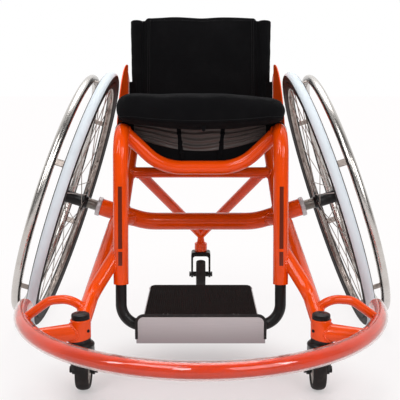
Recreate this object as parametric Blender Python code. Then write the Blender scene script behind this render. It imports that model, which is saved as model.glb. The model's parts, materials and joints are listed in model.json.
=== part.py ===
"""Basketball wheelchair: a rigid sports chair with cambered wheels and a round front bumper.

Metres, +Z up, +X to the sitter's left as seen from the front, and the chair faces -Y.
Every place is written from the point on the floor under the middle of the drive axles.
The empty axle_line carries all of it, and lies where the origin is the middle of the plan.
"""

import math

import bmesh
import bpy
from mathutils import Matrix, Vector

# Clearances
GAP = 0.0003  # between pieces that touch
RUNNING = 0.0005  # between a turning piece and what it turns on

# Facets
TUBE_SIDES = 12
WHEEL_STEPS = 40
TURNED_STEPS = 16
BEND_STEP = math.radians(15)
WELD = 2e-6  # points this close become one
OVERRUN = 0.01  # a cutter runs this far past what it cuts

# Drive wheels
CAMBER = math.radians(18)
HUB_OUT = 0.135  # from a seat rail out to a wheel's middle, at the axle
TYRE_R = 0.305  # 25 inch wheel: 559 mm rim and a 25 mm tyre
TYRE_SECTION_R = 0.0125
TYRE_SECTION_POINTS = 8
TYRE_PROUD = 0.0215  # the tyre stands this far past the rim's edge
RIM_DEPTH = 0.017
RIM_HALF_WIDTH = 0.0108
RIM_BED_HALF_WIDTH = 0.004
RIM_BED_RISE = 0.0035  # the bed's edges curve up to the side walls
RIM_BED_INSET = 0.0025
HANDRIM_INSET = 0.0075  # the handrim's middle lies this far inside the rim's edge
HANDRIM_TUBE_R = 0.0098
HANDRIM_OFFSET = 0.040
HANDRIM_SECTION_POINTS = 8
HANDRIM_TABS = 6
TAB_WIDTH = 0.014
TAB_THICKNESS = 0.004
HUB_HALF_LENGTH = 0.031
HUB_BARREL_R = 0.014
FLANGE_R = 0.0235
FLANGE_THICKNESS = 0.006
FLANGE_OFFSET = 0.0225
SPOKES = 28
SPOKE_INSET = 0.003  # a spoke starts this far inside the flange's edge
SPOKE_SPLIT = 0.0014  # crossing spokes pass each other on this side and that
SPOKE_R = 0.0011
SPOKE_CROSS = math.radians(52)  # how far round the flange a spoke starts
SPOKE_SIDES = 3

# Axles
AXLE_R = 0.00635
AXLE_BORE_R = AXLE_R + RUNNING
AXLE_INNER_END = -0.105
AXLE_HEAD_R = 0.0105
AXLE_HEAD_LENGTH = 0.008
AXLE_HEAD_CHAMFER = 0.0015
BUTTON_R = 0.0042
BUTTON_LENGTH = 0.018
BUTTON_PROUD = 0.006
BUTTON_TRAVEL = 0.004
SLEEVE_R = 0.0125
PLUG_R = 0.0160
PLUG_END = -0.115
COLLAR_R = 0.0222
COLLAR_WIDTH = 0.0105
COLLAR_CHAMFER = 0.002
SLEEVE_SHOWN = 0.022

# Frame tubes
CAMBER_TUBE_R = 0.020
CAMBER_TUBE_DROP = 0.0537  # below the hubs' middles
CAMBER_TUBE_BEND = 0.150
SEAT_HALF = 0.158  # middle of the chair to a seat rail's axis
RAIL_R = 0.015
RAIL_CORNER = Vector((SEAT_HALF, -0.258, 0.470))
RAIL_BEND = 0.055
RAIL_REAR_Y = 0.112
SEAT_DUMP = math.radians(5.4)  # the seat falls to the rear
LEG_LEAN = math.radians(6.5)
LEG_END_Z = 0.168
SEAT_TUBE_R = 0.014
SEAT_TUBE_Y = -0.210
SEAT_TUBE_Z = 0.390
SEAT_TUBE_SLANT = 0.078  # how far in from a rail its slanted part runs
SEAT_TUBE_BEND = 0.060
UPRIGHT_R = 0.0135
UPRIGHT_TOP_Y = 0.085
UPRIGHT_SPLAY = 0.024  # an upright's foot stands this far out from its head
CROSS_TUBE_R = 0.0125
CROSS_TUBE_Z = 0.3465
LOWER_TUBE_R = 0.015
LOWER_TUBE_IN = 0.006  # its rear end, in from the rail
LOWER_ELBOW_OUT = 0.035  # from the rail
LOWER_ELBOW_Y = -0.047
LOWER_ELBOW_RISE = 0.0105  # above the camber tube
LOWER_BEND = 0.045
BRACE_R = 0.0145
BRACE_TOP = Vector((SEAT_HALF, -0.262, 0.239))  # at the back of the leg
BRACE_END_Y = -0.335
STAY_R = 0.012
STAY_IN = 0.021  # a stay's top, in from the rail
STAY_FOOT_Z = 0.127  # the stays' axes meet here, inside the rear caster's bearing ring
STAY_OVERRUN = 0.016

# Casters
CASTER_OUT = 0.0595  # from a seat rail out to a caster's swivel axis
CASTER_Y = -0.436
REAR_CASTER_Y = 0.245
CASTER_R = 0.0375
CASTER_WIDTH = 0.024
CASTER_TRAIL = 0.024
CASTER_STEPS = 20
CASTER_CORE_R = 0.013
CASTER_SHOULDER = 0.009  # the tread's round edge, in from the tread
CASTER_DISH = 0.002
BOLT_STEPS = 10
HOUSING_R = 0.0185
HOUSING_BOTTOM = 0.094
HOUSING_TOP = 0.1435
HOUSING_JOIN_Z = 0.126  # the lower tube's axis meets the housing's here
ARM_JOIN_Z = 0.1185
CAP_R = 0.0165
CAP_HEIGHT = 0.010
CAP_CHAMFER = 0.003
STEM_R = 0.0055
STEM_SHORT = 0.006  # the stem ends this far below the housing's top
FORK_LEG = 0.005
FORK_CORNER = 0.006
FORK_FOOT_R = 0.009
FORK_CROWN_FRONT = 0.015
FORK_CROWN_REAR = 0.020
CROWN_THICKNESS = 0.007
CROWN_HAUNCH = 0.004  # a leg keeps the crown's depth this far below it
FRONT_FORK_WIDTH = 0.042
REAR_FORK_WIDTH = 0.051
REAR_CROWN_THICKNESS = 0.010
REAR_RING_R = 0.0165
REAR_RING_BOTTOM = 0.108
REAR_RING_TOP = 0.130
RING_ROOF = 0.003
REAR_CLEARANCE = 0.013  # the rear caster clears the floor by this
BOLT_R = 0.004
BOLT_HEAD_R = 0.0068
BOLT_HEAD = 0.005
SPACER_WALL = 0.003

# Bumper
BUMPER_OUT = 0.059  # the bar's half circle, seen from above, passes this far outside the hubs
BUMPER_CENTRE_Y = -0.273
BUMPER_Z = 0.120
BUMPER_BAR_R = 0.0125
HOSE_BORE_R = 0.0130
HOSE_R = 0.0160
BUMPER_END = math.radians(1.7)
HOSE_END = math.radians(2.2)
BUMPER_STEP = math.radians(7.5)
BUMPER_SIDES = 10
ARM_ANGLE = math.radians(32)
ARM_ROOT_R = 0.0175
ARM_TIP_R = 0.0115
ARCH_ANGLE = math.radians(14.6)
ARCH_R = 0.008
ARCH_SIDES = 10
ARCH_ROOT_Y = -0.385
ARCH_KNEES = (Vector((0.0225, -0.388, 0.167)), Vector((0.0675, -0.376, 0.162)))  # x from the caster
ARCH_BEND = 0.022
HOSE_NOTCH = 0.0012

# Footrest
FOOT_TUBE_R = 0.011
FOOT_TUBE_Z = 0.086
FOOT_BEND = 0.042
FOOT_INSERT = 0.080
LEG_BORE_DEPTH = 0.125
PLATE_IN = 0.0435  # from a leg's axis in to the tread's edge
PLATE_FRONT_Y = -0.3205
PLATE_REAR_Y = -0.088
PLATE_TOP_Z = 0.1065
PLATE_WALL = 0.003
PLATE_FLANGE = 0.007
PLATE_FOLD = 0.004
APRON_EAR = 0.0125  # the apron is this much wider than the tread, each side
APRON_LOW_Z = 0.0545
APRON_TOP_Z = 0.1115
APRON_CORNER = 0.015
MAT_BORDER = 0.0045
MAT_FRONT_Y = -0.3125
MAT_CORNER = 0.008
MAT_THICKNESS = 0.002
TRIM_EDGE = 0.0018
TRIM_LIP = 0.0040
TRIM_WALL = 0.0012
CLAMP_IN = 0.041  # from the tread's edge in to a clamp's middle
CLAMP_WIDTH = 0.016
CLAMP_WALL = 0.003
CLAMP_BAR = 0.003
CLAMP_BAR_FRONT = 0.010  # ahead of the footrest tube's axis

# Seat
CUSHION_OVERHANG = 0.011  # past the rails' axes
CUSHION_FRONT = -0.006  # along the rail, from its front corner
CUSHION_REAR = 0.358
CUSHION_EDGE = 0.048  # height at the edge
CUSHION_CROWN = 0.011
CUSHION_SAG = 0.010
CUSHION_SAG_IN = 0.024  # the bottom sags from this far inside the rails' axes
CUSHION_CORNER = 0.040
CUSHION_SIDE_STEPS = 5
SLING_WALL = 0.0025
SLING_FRONT = 0.066
SLING_REAR = 0.322
SLING_SAG = 0.060
SLING_SLANT = 0.080  # how far in from a rail the trough's slanted side runs
SLING_JOIN = (0.7, -0.9)  # where the trough leaves a sleeve, in rail radii from the rail's axis
SLING_SLOPE_WALL = 0.0035  # the trough's slanted walls, measured level
FLAP_INSET = 0.004
FLAP_STEPS = 8
GUARD_THICKNESS = 0.0025
GUARD_R = 0.200
GUARD_CENTRE_Y = 0.050
GUARD_CENTRE_Z = 0.398
GUARD_FRONT_Y = -0.130
GUARD_REAR_Y = 0.175
GUARD_DROP = 0.004  # its lower edge lies this far below the rail's axis
GUARD_UNDERCUT = 0.030  # the lower edge ends this far ahead of the rear edge

# Backrest
PIVOT_Y = 0.130
CANE_R = 0.0111
BACK_LEAN = math.radians(14.5)
CANE_LENGTH = 0.278
CANE_TAIL = 0.014
BACK_BAR_HEIGHT = 0.175
BACK_BAR_R = 0.008
BACK_BAR_SEAT = 0.6  # cane radii behind the canes' plane, where the bar's front lies
BACK_BAR_CLEARANCE = 0.001
TAB_LOW = 0.090
TAB_HIGH = 0.124
TAB_PLATE = 0.003
TAB_PROUD = 0.001
SLEEVE_LOW = 0.130
BACK_SLEEVE_R = 0.0160
PANEL_LOW = 0.056
PANEL_HIGH = 0.2875
PANEL_WAVE = 0.0018
PANEL_IN = 0.009  # from a cane's axis in to the panel's edge, inside the sleeve
PANEL_THICKNESS = 0.015
PANEL_PAD = 0.007
PANEL_BACK = 0.5  # cane radii behind the canes' plane
PANEL_ROWS = 8
PANEL_COLUMNS = 16
BACK_SLEEVE_TOP = 0.006  # the sleeve's end above the cane's
BACK_SLEEVE_CHAMFER = 0.004
BACK_PIN_R = 0.004
BRACKET_WALL = 0.004
BRACKET_REACH = 0.060  # ahead of the pivot, along the rail
BRACKET_NECK = (0.018, 0.016)
BRACKET_CROWN_R = 0.011
BRACKET_HEEL_R = 0.013
BRACKET_SLOT_R = 0.034
SLOT_END_TURN = 0.4  # a slot's round end starts this far round
BACK_ANGLE = math.radians(6)
BACK_SPARE = math.radians(1)  # the slot runs this far past each limit
LOCK_BOLT_R = 0.003
LOCK_BOLT_REACH = 0.013  # past the cane's inner side
LOCK_BOLT_STEPS = 10
PIN_HEAD_PROUD = 0.003

# Worked out from the sizes above
TYRE_RING_R = TYRE_R - TYRE_SECTION_R
RIM_EDGE_R = TYRE_R - TYRE_PROUD
RIM_BED_R = RIM_EDGE_R - RIM_DEPTH
HANDRIM_R = RIM_EDGE_R - HANDRIM_INSET
HUB_X = SEAT_HALF + HUB_OUT
LOWER_ELBOW_X = SEAT_HALF + LOWER_ELBOW_OUT
BUMPER_R = HUB_X + BUMPER_OUT
CASTER_X = SEAT_HALF + CASTER_OUT
UPRIGHT_FOOT_X = SEAT_HALF + UPRIGHT_SPLAY
PLATE_HALF_WIDTH = SEAT_HALF - PLATE_IN
APRON_HALF_WIDTH = PLATE_HALF_WIDTH + APRON_EAR
CLAMP_X = PLATE_HALF_WIDTH - CLAMP_IN
CUSHION_HALF_WIDTH = SEAT_HALF + CUSHION_OVERHANG
CUSHION_SAG_HALF = SEAT_HALF - CUSHION_SAG_IN
SLING_FLAT_HALF = SEAT_HALF - SLING_SLANT
PANEL_HALF_WIDTH = SEAT_HALF - PANEL_IN
HUB_Z = TYRE_RING_R * math.cos(CAMBER) + TYRE_SECTION_R
CAMBER_TUBE_Z = HUB_Z - CAMBER_TUBE_DROP
TUBE_END = -(HUB_HALF_LENGTH + RUNNING + SLEEVE_SHOWN + COLLAR_WIDTH + GAP)
BUMPER_FRONT = BUMPER_CENTRE_Y - BUMPER_R - HOSE_R
AXLE_Y = -(BUMPER_FRONT + TYRE_R) / 2
SEAT_FRAME = Matrix.Translation((0, RAIL_CORNER.y, RAIL_CORNER.z)) @ Matrix.Rotation(-SEAT_DUMP, 4, "X")
LEG_DOWN = Vector((0, -math.sin(LEG_LEAN), -math.cos(LEG_LEAN)))
GUARD_X = SEAT_HALF + RAIL_R + SLING_WALL + 3 * GAP
FORK_TOP = HOUSING_BOTTOM - GAP
REAR_FORK_TOP = REAR_RING_BOTTOM - GAP
REAR_AXLE_Z = CASTER_R + REAR_CLEARANCE

SIDES = (("left", 1), ("right", -1))

COLOURS = {
    "orange": ((0.90, 0.075, 0.004), 0.22, 0.0),
    "black": ((0.012, 0.012, 0.013), 0.45, 0.0),
    "satin": ((0.45, 0.44, 0.45), 0.35, 1.0),
    "chrome": ((0.80, 0.80, 0.82), 0.08, 1.0),
    "silver": ((0.62, 0.62, 0.64), 0.30, 1.0),
    "tyre": ((0.62, 0.66, 0.72), 0.60, 0.0),
    "rubber": ((0.035, 0.033, 0.032), 0.70, 0.0),
    "hose": ((0.90, 0.86, 0.85), 0.08, 0.0),
    "fabric": ((0.010, 0.010, 0.012), 0.90, 0.0),
    "webbing": ((0.060, 0.052, 0.050), 0.85, 0.0),
}


def clear_scene():
    for thing in list(bpy.data.objects):
        bpy.data.objects.remove(thing, do_unlink=True)


def material(name):
    """The named finish, made once."""
    made = bpy.data.materials.get(name)
    if made:
        return made
    colour, roughness, metallic = COLOURS[name]
    made = bpy.data.materials.new(name)
    made.use_nodes = True
    shader = made.node_tree.nodes["Principled BSDF"]
    shader.inputs["Base Color"].default_value = (*colour, 1)
    shader.inputs["Roughness"].default_value = roughness
    shader.inputs["Metallic"].default_value = metallic
    return made


def new_object(name, mesh):
    made = bpy.data.objects.new(name, mesh)
    bpy.context.scene.collection.objects.link(made)
    return made


def from_bmesh(name, bm):
    """An object of the bmesh, closed and with its faces outward."""
    bmesh.ops.remove_doubles(bm, verts=bm.verts, dist=WELD)
    bmesh.ops.recalc_face_normals(bm, faces=bm.faces)
    mesh = bpy.data.meshes.new(name)
    bm.to_mesh(mesh)
    bm.free()
    return new_object(name, mesh)


def finish(piece, colour, parent):
    """Gives a finished piece its material and hangs it on its parent, where it stands."""
    piece.data.materials.clear()
    piece.data.materials.append(material(colour))
    piece.data.shade_smooth()
    piece.data.set_sharp_from_angle(angle=math.radians(35))
    piece.data.transform(parent.matrix_world.inverted())
    piece.parent = parent
    return piece


def combine(piece, other, operation):
    """A Boolean of the two, worked out at once. The other object goes."""
    step = piece.modifiers.new("combine", "BOOLEAN")
    step.operation = operation
    step.object = other
    graph = bpy.context.evaluated_depsgraph_get()
    mesh = bpy.data.meshes.new_from_object(piece.evaluated_get(graph))
    piece.modifiers.clear()
    bpy.data.objects.remove(other, do_unlink=True)
    bm = bmesh.new()
    bm.from_mesh(mesh)
    bmesh.ops.remove_doubles(bm, verts=bm.verts, dist=WELD)
    bmesh.ops.dissolve_degenerate(bm, edges=bm.edges, dist=WELD)
    bm.to_mesh(mesh)
    bm.free()
    piece.data = mesh
    return piece


def cut(piece, *cutters):
    for cutter in cutters:
        combine(piece, cutter, "DIFFERENCE")
    return piece


def join(piece, *others):
    for other in others:
        combine(piece, other, "UNION")
    return piece


def doubled(half):
    """A half that is cut off at the plane x = 0, made whole with its mirror image."""
    bm = bmesh.new()
    bm.from_mesh(half.data)
    bmesh.ops.remove_doubles(bm, verts=bm.verts, dist=WELD)
    cap = [face for face in bm.faces if all(abs(vert.co.x) < WELD for vert in face.verts)]
    bmesh.ops.delete(bm, geom=cap, context="FACES_ONLY")
    bmesh.ops.mirror(bm, geom=bm.verts[:] + bm.edges[:] + bm.faces[:], axis="X", merge_dist=WELD)
    bmesh.ops.recalc_face_normals(bm, faces=bm.faces)
    bm.to_mesh(half.data)
    bm.free()
    return half


def rounded(points, radius, step=BEND_STEP):
    """The path through the points, with each inner corner bent round at the radius."""
    corners = [Vector(point) for point in points]
    path = [corners[0]]
    for before, corner, after in zip(corners, corners[1:], corners[2:]):
        into = (corner - before).normalized()
        out = (after - corner).normalized()
        turn = into.angle(out)
        centre = corner + (out - into).normalized() * (radius / math.cos(turn / 2))
        start = corner - into * (radius * math.tan(turn / 2)) - centre
        count = max(2, math.ceil(turn / step))
        axis = into.cross(out)
        for i in range(count + 1):
            path.append(centre + Matrix.Rotation(turn * i / count, 3, axis) @ start)
    path.append(corners[-1])
    return path


def tube(name, path, radius, sides=TUBE_SIDES):
    """A solid round bar along the path: a curve with a bevel and filled caps, as a mesh."""
    curve = bpy.data.curves.new(name, "CURVE")
    curve.dimensions = "3D"
    curve.bevel_depth = radius
    curve.bevel_resolution = (sides - 4) // 2
    curve.use_fill_caps = True
    spline = curve.splines.new("POLY")
    spline.points.add(len(path) - 1)
    for point, place in zip(spline.points, path):
        point.co = (*place, 1)
    guide = new_object(name + "_guide", curve)
    graph = bpy.context.evaluated_depsgraph_get()
    mesh = bpy.data.meshes.new_from_object(guide.evaluated_get(graph))
    bpy.data.objects.remove(guide, do_unlink=True)
    bm = bmesh.new()
    bm.from_mesh(mesh)
    return from_bmesh(name, bm)


def turned(name, profile, steps=TURNED_STEPS, ring=False):
    """A body turned about Z from (radius, height) points. A ring's profile closes on itself."""
    bm = bmesh.new()
    points = [bm.verts.new((radius, 0, height)) for radius, height in profile]
    pairs = list(zip(points, points[1:]))
    if ring:
        pairs.append((points[-1], points[0]))
    edges = [bm.edges.new(pair) for pair in pairs]
    bmesh.ops.spin(bm, geom=points + edges, axis=(0, 0, 1), angle=math.tau, steps=steps, use_merge=True)
    return from_bmesh(name, bm)


def rod(name, radius, low, high, steps=TURNED_STEPS):
    """A round bar on Z between two heights."""
    return turned(name, [(0, low), (radius, low), (radius, high), (0, high)], steps)


def box(name, low, high):
    low, high = Vector(low), Vector(high)
    bm = bmesh.new()
    bmesh.ops.create_cube(bm, size=1)
    bmesh.ops.scale(bm, vec=high - low, verts=bm.verts)
    bmesh.ops.translate(bm, vec=(low + high) / 2, verts=bm.verts)
    return from_bmesh(name, bm)


def prism(name, outline, low, high, axis):
    """An outline extruded along an axis. Its points are in the other two axes, in X, Y, Z order."""
    bm = bmesh.new()
    others = [i for i in range(3) if i != axis]
    corners = []
    for a, b in outline:
        place = [0.0, 0.0, 0.0]
        place[axis] = low
        place[others[0]] = a
        place[others[1]] = b
        corners.append(bm.verts.new(place))
    face = bm.faces.new(corners)
    along = [0.0, 0.0, 0.0]
    along[axis] = high - low
    made = bmesh.ops.extrude_face_region(bm, geom=[face])
    moved = [item for item in made["geom"] if isinstance(item, bmesh.types.BMVert)]
    bmesh.ops.translate(bm, vec=along, verts=moved)
    return from_bmesh(name, bm)


def arc(centre, radius, start, end, count):
    """Points on an arc, from one angle to the other."""
    turns = [start + (end - start) * i / count for i in range(count + 1)]
    return [(centre[0] + radius * math.cos(t), centre[1] + radius * math.sin(t)) for t in turns]


def rounded_rectangle(half_width, half_length, radius, count=4):
    """The outline of a plate with round corners, about the middle."""
    outline = []
    for i, (a, b) in enumerate(((1, 1), (-1, 1), (-1, -1), (1, -1))):
        centre = (a * (half_width - radius), b * (half_length - radius))
        outline += arc(centre, radius, i * math.pi / 2, (i + 1) * math.pi / 2, count)
    return outline


def empty(name, parent, place, turn=(0, 0, 0)):
    made = new_object(name, None)
    made.parent = parent
    made.location = place
    made.rotation_euler = turn
    bpy.context.view_layer.update()
    return made


def moved(piece, matrix):
    """The piece with its mesh carried by the matrix."""
    piece.data.transform(matrix)
    return piece


def wheel_matrix(side):
    """Turns a wheel's own frame, +Z outward along the axle, to its place in the chair."""
    tilt = Matrix.Rotation(side * (math.pi / 2 - CAMBER), 4, "Y")
    return Matrix.Translation((side * HUB_X, 0, HUB_Z)) @ tilt


def axle_point(x):
    """The point of the left axle's line at this distance from the middle."""
    return Vector((x, 0, HUB_Z - (HUB_X - x) * math.tan(CAMBER)))


def rail_point(y):
    """The point of the left seat rail's axis at y."""
    return Vector((SEAT_HALF, y, RAIL_CORNER.z - (y - RAIL_CORNER.y) * math.tan(SEAT_DUMP)))


def leg_point(z):
    """The point of the left leg's axis at height z."""
    return RAIL_CORNER + LEG_DOWN * ((RAIL_CORNER.z - z) / math.cos(LEG_LEAN))


def mirrored(point, side):
    return Vector((side * point[0], point[1], point[2]))


def side_path(points, side):
    return [mirrored(point, side) for point in points]


def bumper_point(turn, z=BUMPER_Z):
    """The point of the bumper's axis at this turn from the left end towards the front."""
    return Vector((BUMPER_R * math.cos(turn), BUMPER_CENTRE_Y - BUMPER_R * math.sin(turn), z))


# The tubes' axes, on the left side or right across


def camber_path():
    end = axle_point(HUB_X + TUBE_END * math.cos(CAMBER))
    corner_x = HUB_X - (HUB_Z - CAMBER_TUBE_Z) / math.tan(CAMBER)
    corner = Vector((corner_x, 0, CAMBER_TUBE_Z))
    return rounded([end, corner, mirrored(corner, -1), mirrored(end, -1)], CAMBER_TUBE_BEND)


def rail_path():
    return rounded([rail_point(RAIL_REAR_Y), RAIL_CORNER, leg_point(LEG_END_Z)], RAIL_BEND)


def seat_tube_path():
    top = rail_point(SEAT_TUBE_Y)
    corner = Vector((SEAT_HALF - SEAT_TUBE_SLANT, SEAT_TUBE_Y, SEAT_TUBE_Z))
    return rounded([top, corner, mirrored(corner, -1), mirrored(top, -1)], SEAT_TUBE_BEND)


def upright_path():
    return [rail_point(UPRIGHT_TOP_Y), axle_point(UPRIGHT_FOOT_X)]


def upright_at(z):
    top, foot = upright_path()
    return foot + (top - foot) * ((z - foot.z) / (top.z - foot.z))


def cross_tube_path():
    end = upright_at(CROSS_TUBE_Z)
    return [end, mirrored(end, -1)]


def lower_run():
    """Both ends of the left lower tube's straight run: its elbow and its end in the housing."""
    elbow = Vector((LOWER_ELBOW_X, LOWER_ELBOW_Y, CAMBER_TUBE_Z + LOWER_ELBOW_RISE))
    return elbow, Vector((CASTER_X, CASTER_Y, HOUSING_JOIN_Z))


def lower_path():
    return rounded([axle_point(SEAT_HALF - LOWER_TUBE_IN), *lower_run()], LOWER_BEND)


def lower_point(y):
    """The point of the left lower tube's axis at y, on its straight run."""
    elbow, end = lower_run()
    share = (y - elbow.y) / (end.y - elbow.y)
    return elbow + (end - elbow) * share


def brace_path():
    return [BRACE_TOP, lower_point(BRACE_END_Y)]


def arch_path():
    knees = [Vector((CASTER_X, 0, 0)) + knee for knee in ARCH_KNEES]
    return rounded([lower_point(ARCH_ROOT_Y), *knees, bumper_point(ARCH_ANGLE)], ARCH_BEND)


def bumper_path(short):
    count = round((math.pi - 2 * short) / BUMPER_STEP)
    step = (math.pi - 2 * short) / count
    return [bumper_point(short + i * step) for i in range(count + 1)]


def foot_path():
    top = leg_point(LEG_END_Z + FOOT_INSERT * math.cos(LEG_LEAN))
    corner = leg_point(FOOT_TUBE_Z)
    return rounded([top, corner, mirrored(corner, -1), mirrored(top, -1)], FOOT_BEND)


# Frame


def rail(side):
    """A seat rail and leg, bent from one tube, bored below for the footrest tube."""
    piece = tube("rail", side_path(rail_path(), side), RAIL_R)
    below = leg_point(LEG_END_Z - OVERRUN)
    top = leg_point(LEG_END_Z + LEG_BORE_DEPTH * math.cos(LEG_LEAN))
    return cut(piece, tube("bore", side_path([top, below], side), sliding(FOOT_TUBE_R)))


def sliding(radius):
    """The bore for a bar that slides or turns in it, wide enough whichever way the facets lie."""
    return (radius + GAP) / math.cos(math.pi / TUBE_SIDES)


def grown(name, path, radius, side=1, sides=TUBE_SIDES):
    """A cutter round a tube, larger by the gap between pieces that touch."""
    return tube(name, side_path(path, side), radius + GAP / math.cos(math.pi / sides), sides)


def camber_tube():
    """The large cross tube, bored at both ends for the axle sleeves."""
    piece = tube("camber", camber_path(), CAMBER_TUBE_R)
    for _, side in SIDES:
        bore = rod("bore", PLUG_R + GAP, PLUG_END - GAP, TUBE_END + OVERRUN)
        cut(piece, moved(bore, wheel_matrix(side)))
    return piece


def front_seat_tube():
    piece = tube("seat_tube", seat_tube_path(), SEAT_TUBE_R)
    for _, side in SIDES:
        cut(piece, grown("rail", rail_path(), RAIL_R, side))
    return piece


def upright(side):
    piece = tube("upright", side_path(upright_path(), side), UPRIGHT_R)
    return cut(
        piece,
        grown("rail", rail_path(), RAIL_R, side),
        grown("camber", camber_path(), CAMBER_TUBE_R),
    )


def rear_cross_tube():
    piece = tube("cross", cross_tube_path(), CROSS_TUBE_R)
    for _, side in SIDES:
        cut(piece, grown("upright", upright_path(), UPRIGHT_R, side))
    return piece


def housing_arm(side, grow=0.0):
    """The tapered arm from a caster housing to the bumper bar."""
    root = mirrored((CASTER_X, CASTER_Y, ARM_JOIN_Z), side)
    tip = mirrored(bumper_point(ARM_ANGLE), side)
    along = tip - root
    bm = bmesh.new()
    bmesh.ops.create_cone(
        bm,
        cap_ends=True,
        segments=TUBE_SIDES,
        radius1=ARM_ROOT_R + grow,
        radius2=ARM_TIP_R + grow,
        depth=along.length,
    )
    turn = along.to_track_quat("Z", "Y").to_matrix().to_4x4()
    bmesh.ops.transform(bm, matrix=Matrix.Translation((root + tip) / 2) @ turn, verts=bm.verts)
    return from_bmesh("arm", bm)


def housing_barrel(side, grow=0.0, top=HOUSING_TOP):
    barrel = rod("housing", HOUSING_R + grow, HOUSING_BOTTOM - grow, top + grow)
    return moved(barrel, Matrix.Translation((side * CASTER_X, CASTER_Y, 0)))


def caster_housing(side):
    """A caster's bearing housing with the arm that carries the bumper."""
    piece = join(housing_barrel(side), housing_arm(side))
    bore = rod("bore", STEM_R + RUNNING, HOUSING_BOTTOM - OVERRUN, HOUSING_TOP + OVERRUN)
    cut(piece, moved(bore, Matrix.Translation((side * CASTER_X, CASTER_Y, 0))))
    return cut(piece, grown("bar", bumper_path(BUMPER_END), BUMPER_BAR_R, 1, BUMPER_SIDES))


def lower_tube(side):
    piece = tube("lower", side_path(lower_path(), side), LOWER_TUBE_R)
    return cut(
        piece,
        grown("camber", camber_path(), CAMBER_TUBE_R),
        housing_barrel(side, 2 * GAP, HOUSING_TOP + 2 * CAP_HEIGHT),
        housing_arm(side, 2 * GAP),
    )


def leg_brace(side):
    piece = tube("brace", side_path(brace_path(), side), BRACE_R)
    return cut(
        piece,
        grown("rail", rail_path(), RAIL_R, side),
        grown("lower", lower_path(), LOWER_TUBE_R, side),
    )


def bumper_arch(side):
    piece = tube("arch", side_path(arch_path(), side), ARCH_R, ARCH_SIDES)
    return cut(
        piece,
        grown("lower", lower_path(), LOWER_TUBE_R, side),
        housing_barrel(side, 2 * GAP, HOUSING_TOP + 2 * CAP_HEIGHT),
        grown("bar", bumper_path(BUMPER_END), BUMPER_BAR_R, 1, BUMPER_SIDES),
    )


def bumper_hose():
    """The clear hose over the bumper bar, notched where the arms and arches are welded on."""
    path = bumper_path(HOSE_END)
    bore = tube("bore", bumper_path(BUMPER_END), HOSE_BORE_R, BUMPER_SIDES)
    piece = cut(tube("hose", path, HOSE_R, BUMPER_SIDES), bore)
    for _, side in SIDES:
        arch = tube("arch", side_path(arch_path(), side), ARCH_R + HOSE_NOTCH, ARCH_SIDES)
        cut(piece, housing_arm(side, HOSE_NOTCH), arch)
    return piece


def rear_stays():
    """The two stays in a V, welded to each other and on the rear caster's bearing ring."""
    foot = Vector((0, REAR_CASTER_Y, STAY_FOOT_Z))
    top = cross_tube_path()[0]
    top.x = SEAT_HALF - STAY_IN
    stay = tube("stays", [top, foot + (foot - top).normalized() * STAY_OVERRUN], STAY_R)
    reach = abs(top.y - foot.y)
    low = (-reach, REAR_CASTER_Y - reach, 0)
    cut(
        stay,
        grown("cross", cross_tube_path(), CROSS_TUBE_R),
        box("seat", low, (reach, REAR_CASTER_Y + reach, REAR_RING_TOP + GAP)),
        box("other half", low, (0, REAR_CASTER_Y + reach, top.z)),
    )
    return doubled(stay)


def rear_caster_housing():
    """The bearing ring of the rear caster, with a roof above the stem."""
    profile = [
        (0, REAR_RING_TOP - RING_ROOF),
        (STEM_R + RUNNING, REAR_RING_TOP - RING_ROOF),
        (STEM_R + RUNNING, REAR_RING_BOTTOM),
        (REAR_RING_R, REAR_RING_BOTTOM),
        (REAR_RING_R, REAR_RING_TOP),
        (0, REAR_RING_TOP),
    ]
    return moved(turned("ring", profile), Matrix.Translation((0, REAR_CASTER_Y, 0)))


def side_guard(side):
    """A fin between the seat and the wheel, cut to a round top, seated on the rail."""
    low_front = rail_point(GUARD_FRONT_Y).z - GUARD_DROP
    start = math.pi - math.asin((low_front - GUARD_CENTRE_Z) / GUARD_R)
    end = math.acos((GUARD_REAR_Y - GUARD_CENTRE_Y) / GUARD_R)
    outline = arc((GUARD_CENTRE_Y, GUARD_CENTRE_Z), GUARD_R, start, end, 16)
    rear = rail_point(GUARD_REAR_Y - GUARD_UNDERCUT)
    outline.append((rear.y, rear.z - GUARD_DROP))
    inner = side * GUARD_X
    return prism("guard", outline, inner, inner + side * GUARD_THICKNESS, 0)


# Drive wheels, each in its own frame with +Z outward along the axle


def tyre(side):
    """A round tyre. A point of its section is turned to the floor under the camber."""
    profile = []
    for i in range(TYRE_SECTION_POINTS):
        turn = math.tau * i / TYRE_SECTION_POINTS - CAMBER
        r = TYRE_RING_R + TYRE_SECTION_R * math.cos(turn)
        profile.append((r, TYRE_SECTION_R * math.sin(turn)))
    return turned("tyre", profile, WHEEL_STEPS, ring=True)


def rim():
    """A double wall rim with a channel for the tyre."""
    channel_r = TYRE_RING_R - TYRE_SECTION_R - GAP
    half = [
        (channel_r, RIM_HALF_WIDTH / 2),
        (RIM_EDGE_R, RIM_HALF_WIDTH),
        (RIM_BED_R + RIM_BED_RISE, RIM_HALF_WIDTH - RIM_BED_INSET),
        (RIM_BED_R, RIM_BED_HALF_WIDTH),
    ]
    profile = half + [(r, -z) for r, z in reversed(half)]
    return turned("rim", profile, WHEEL_STEPS, ring=True)


def rim_side(radius):
    """Half the rim's width at this radius, on its side wall, at the middle of a facet."""
    depth = RIM_EDGE_R - radius / math.cos(math.pi / WHEEL_STEPS)
    return RIM_HALF_WIDTH - RIM_BED_INSET * depth / (RIM_EDGE_R - RIM_BED_R - RIM_BED_RISE)


def on_wheel(radius, turn, height):
    return Vector((radius * math.cos(turn), radius * math.sin(turn), height))


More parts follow.
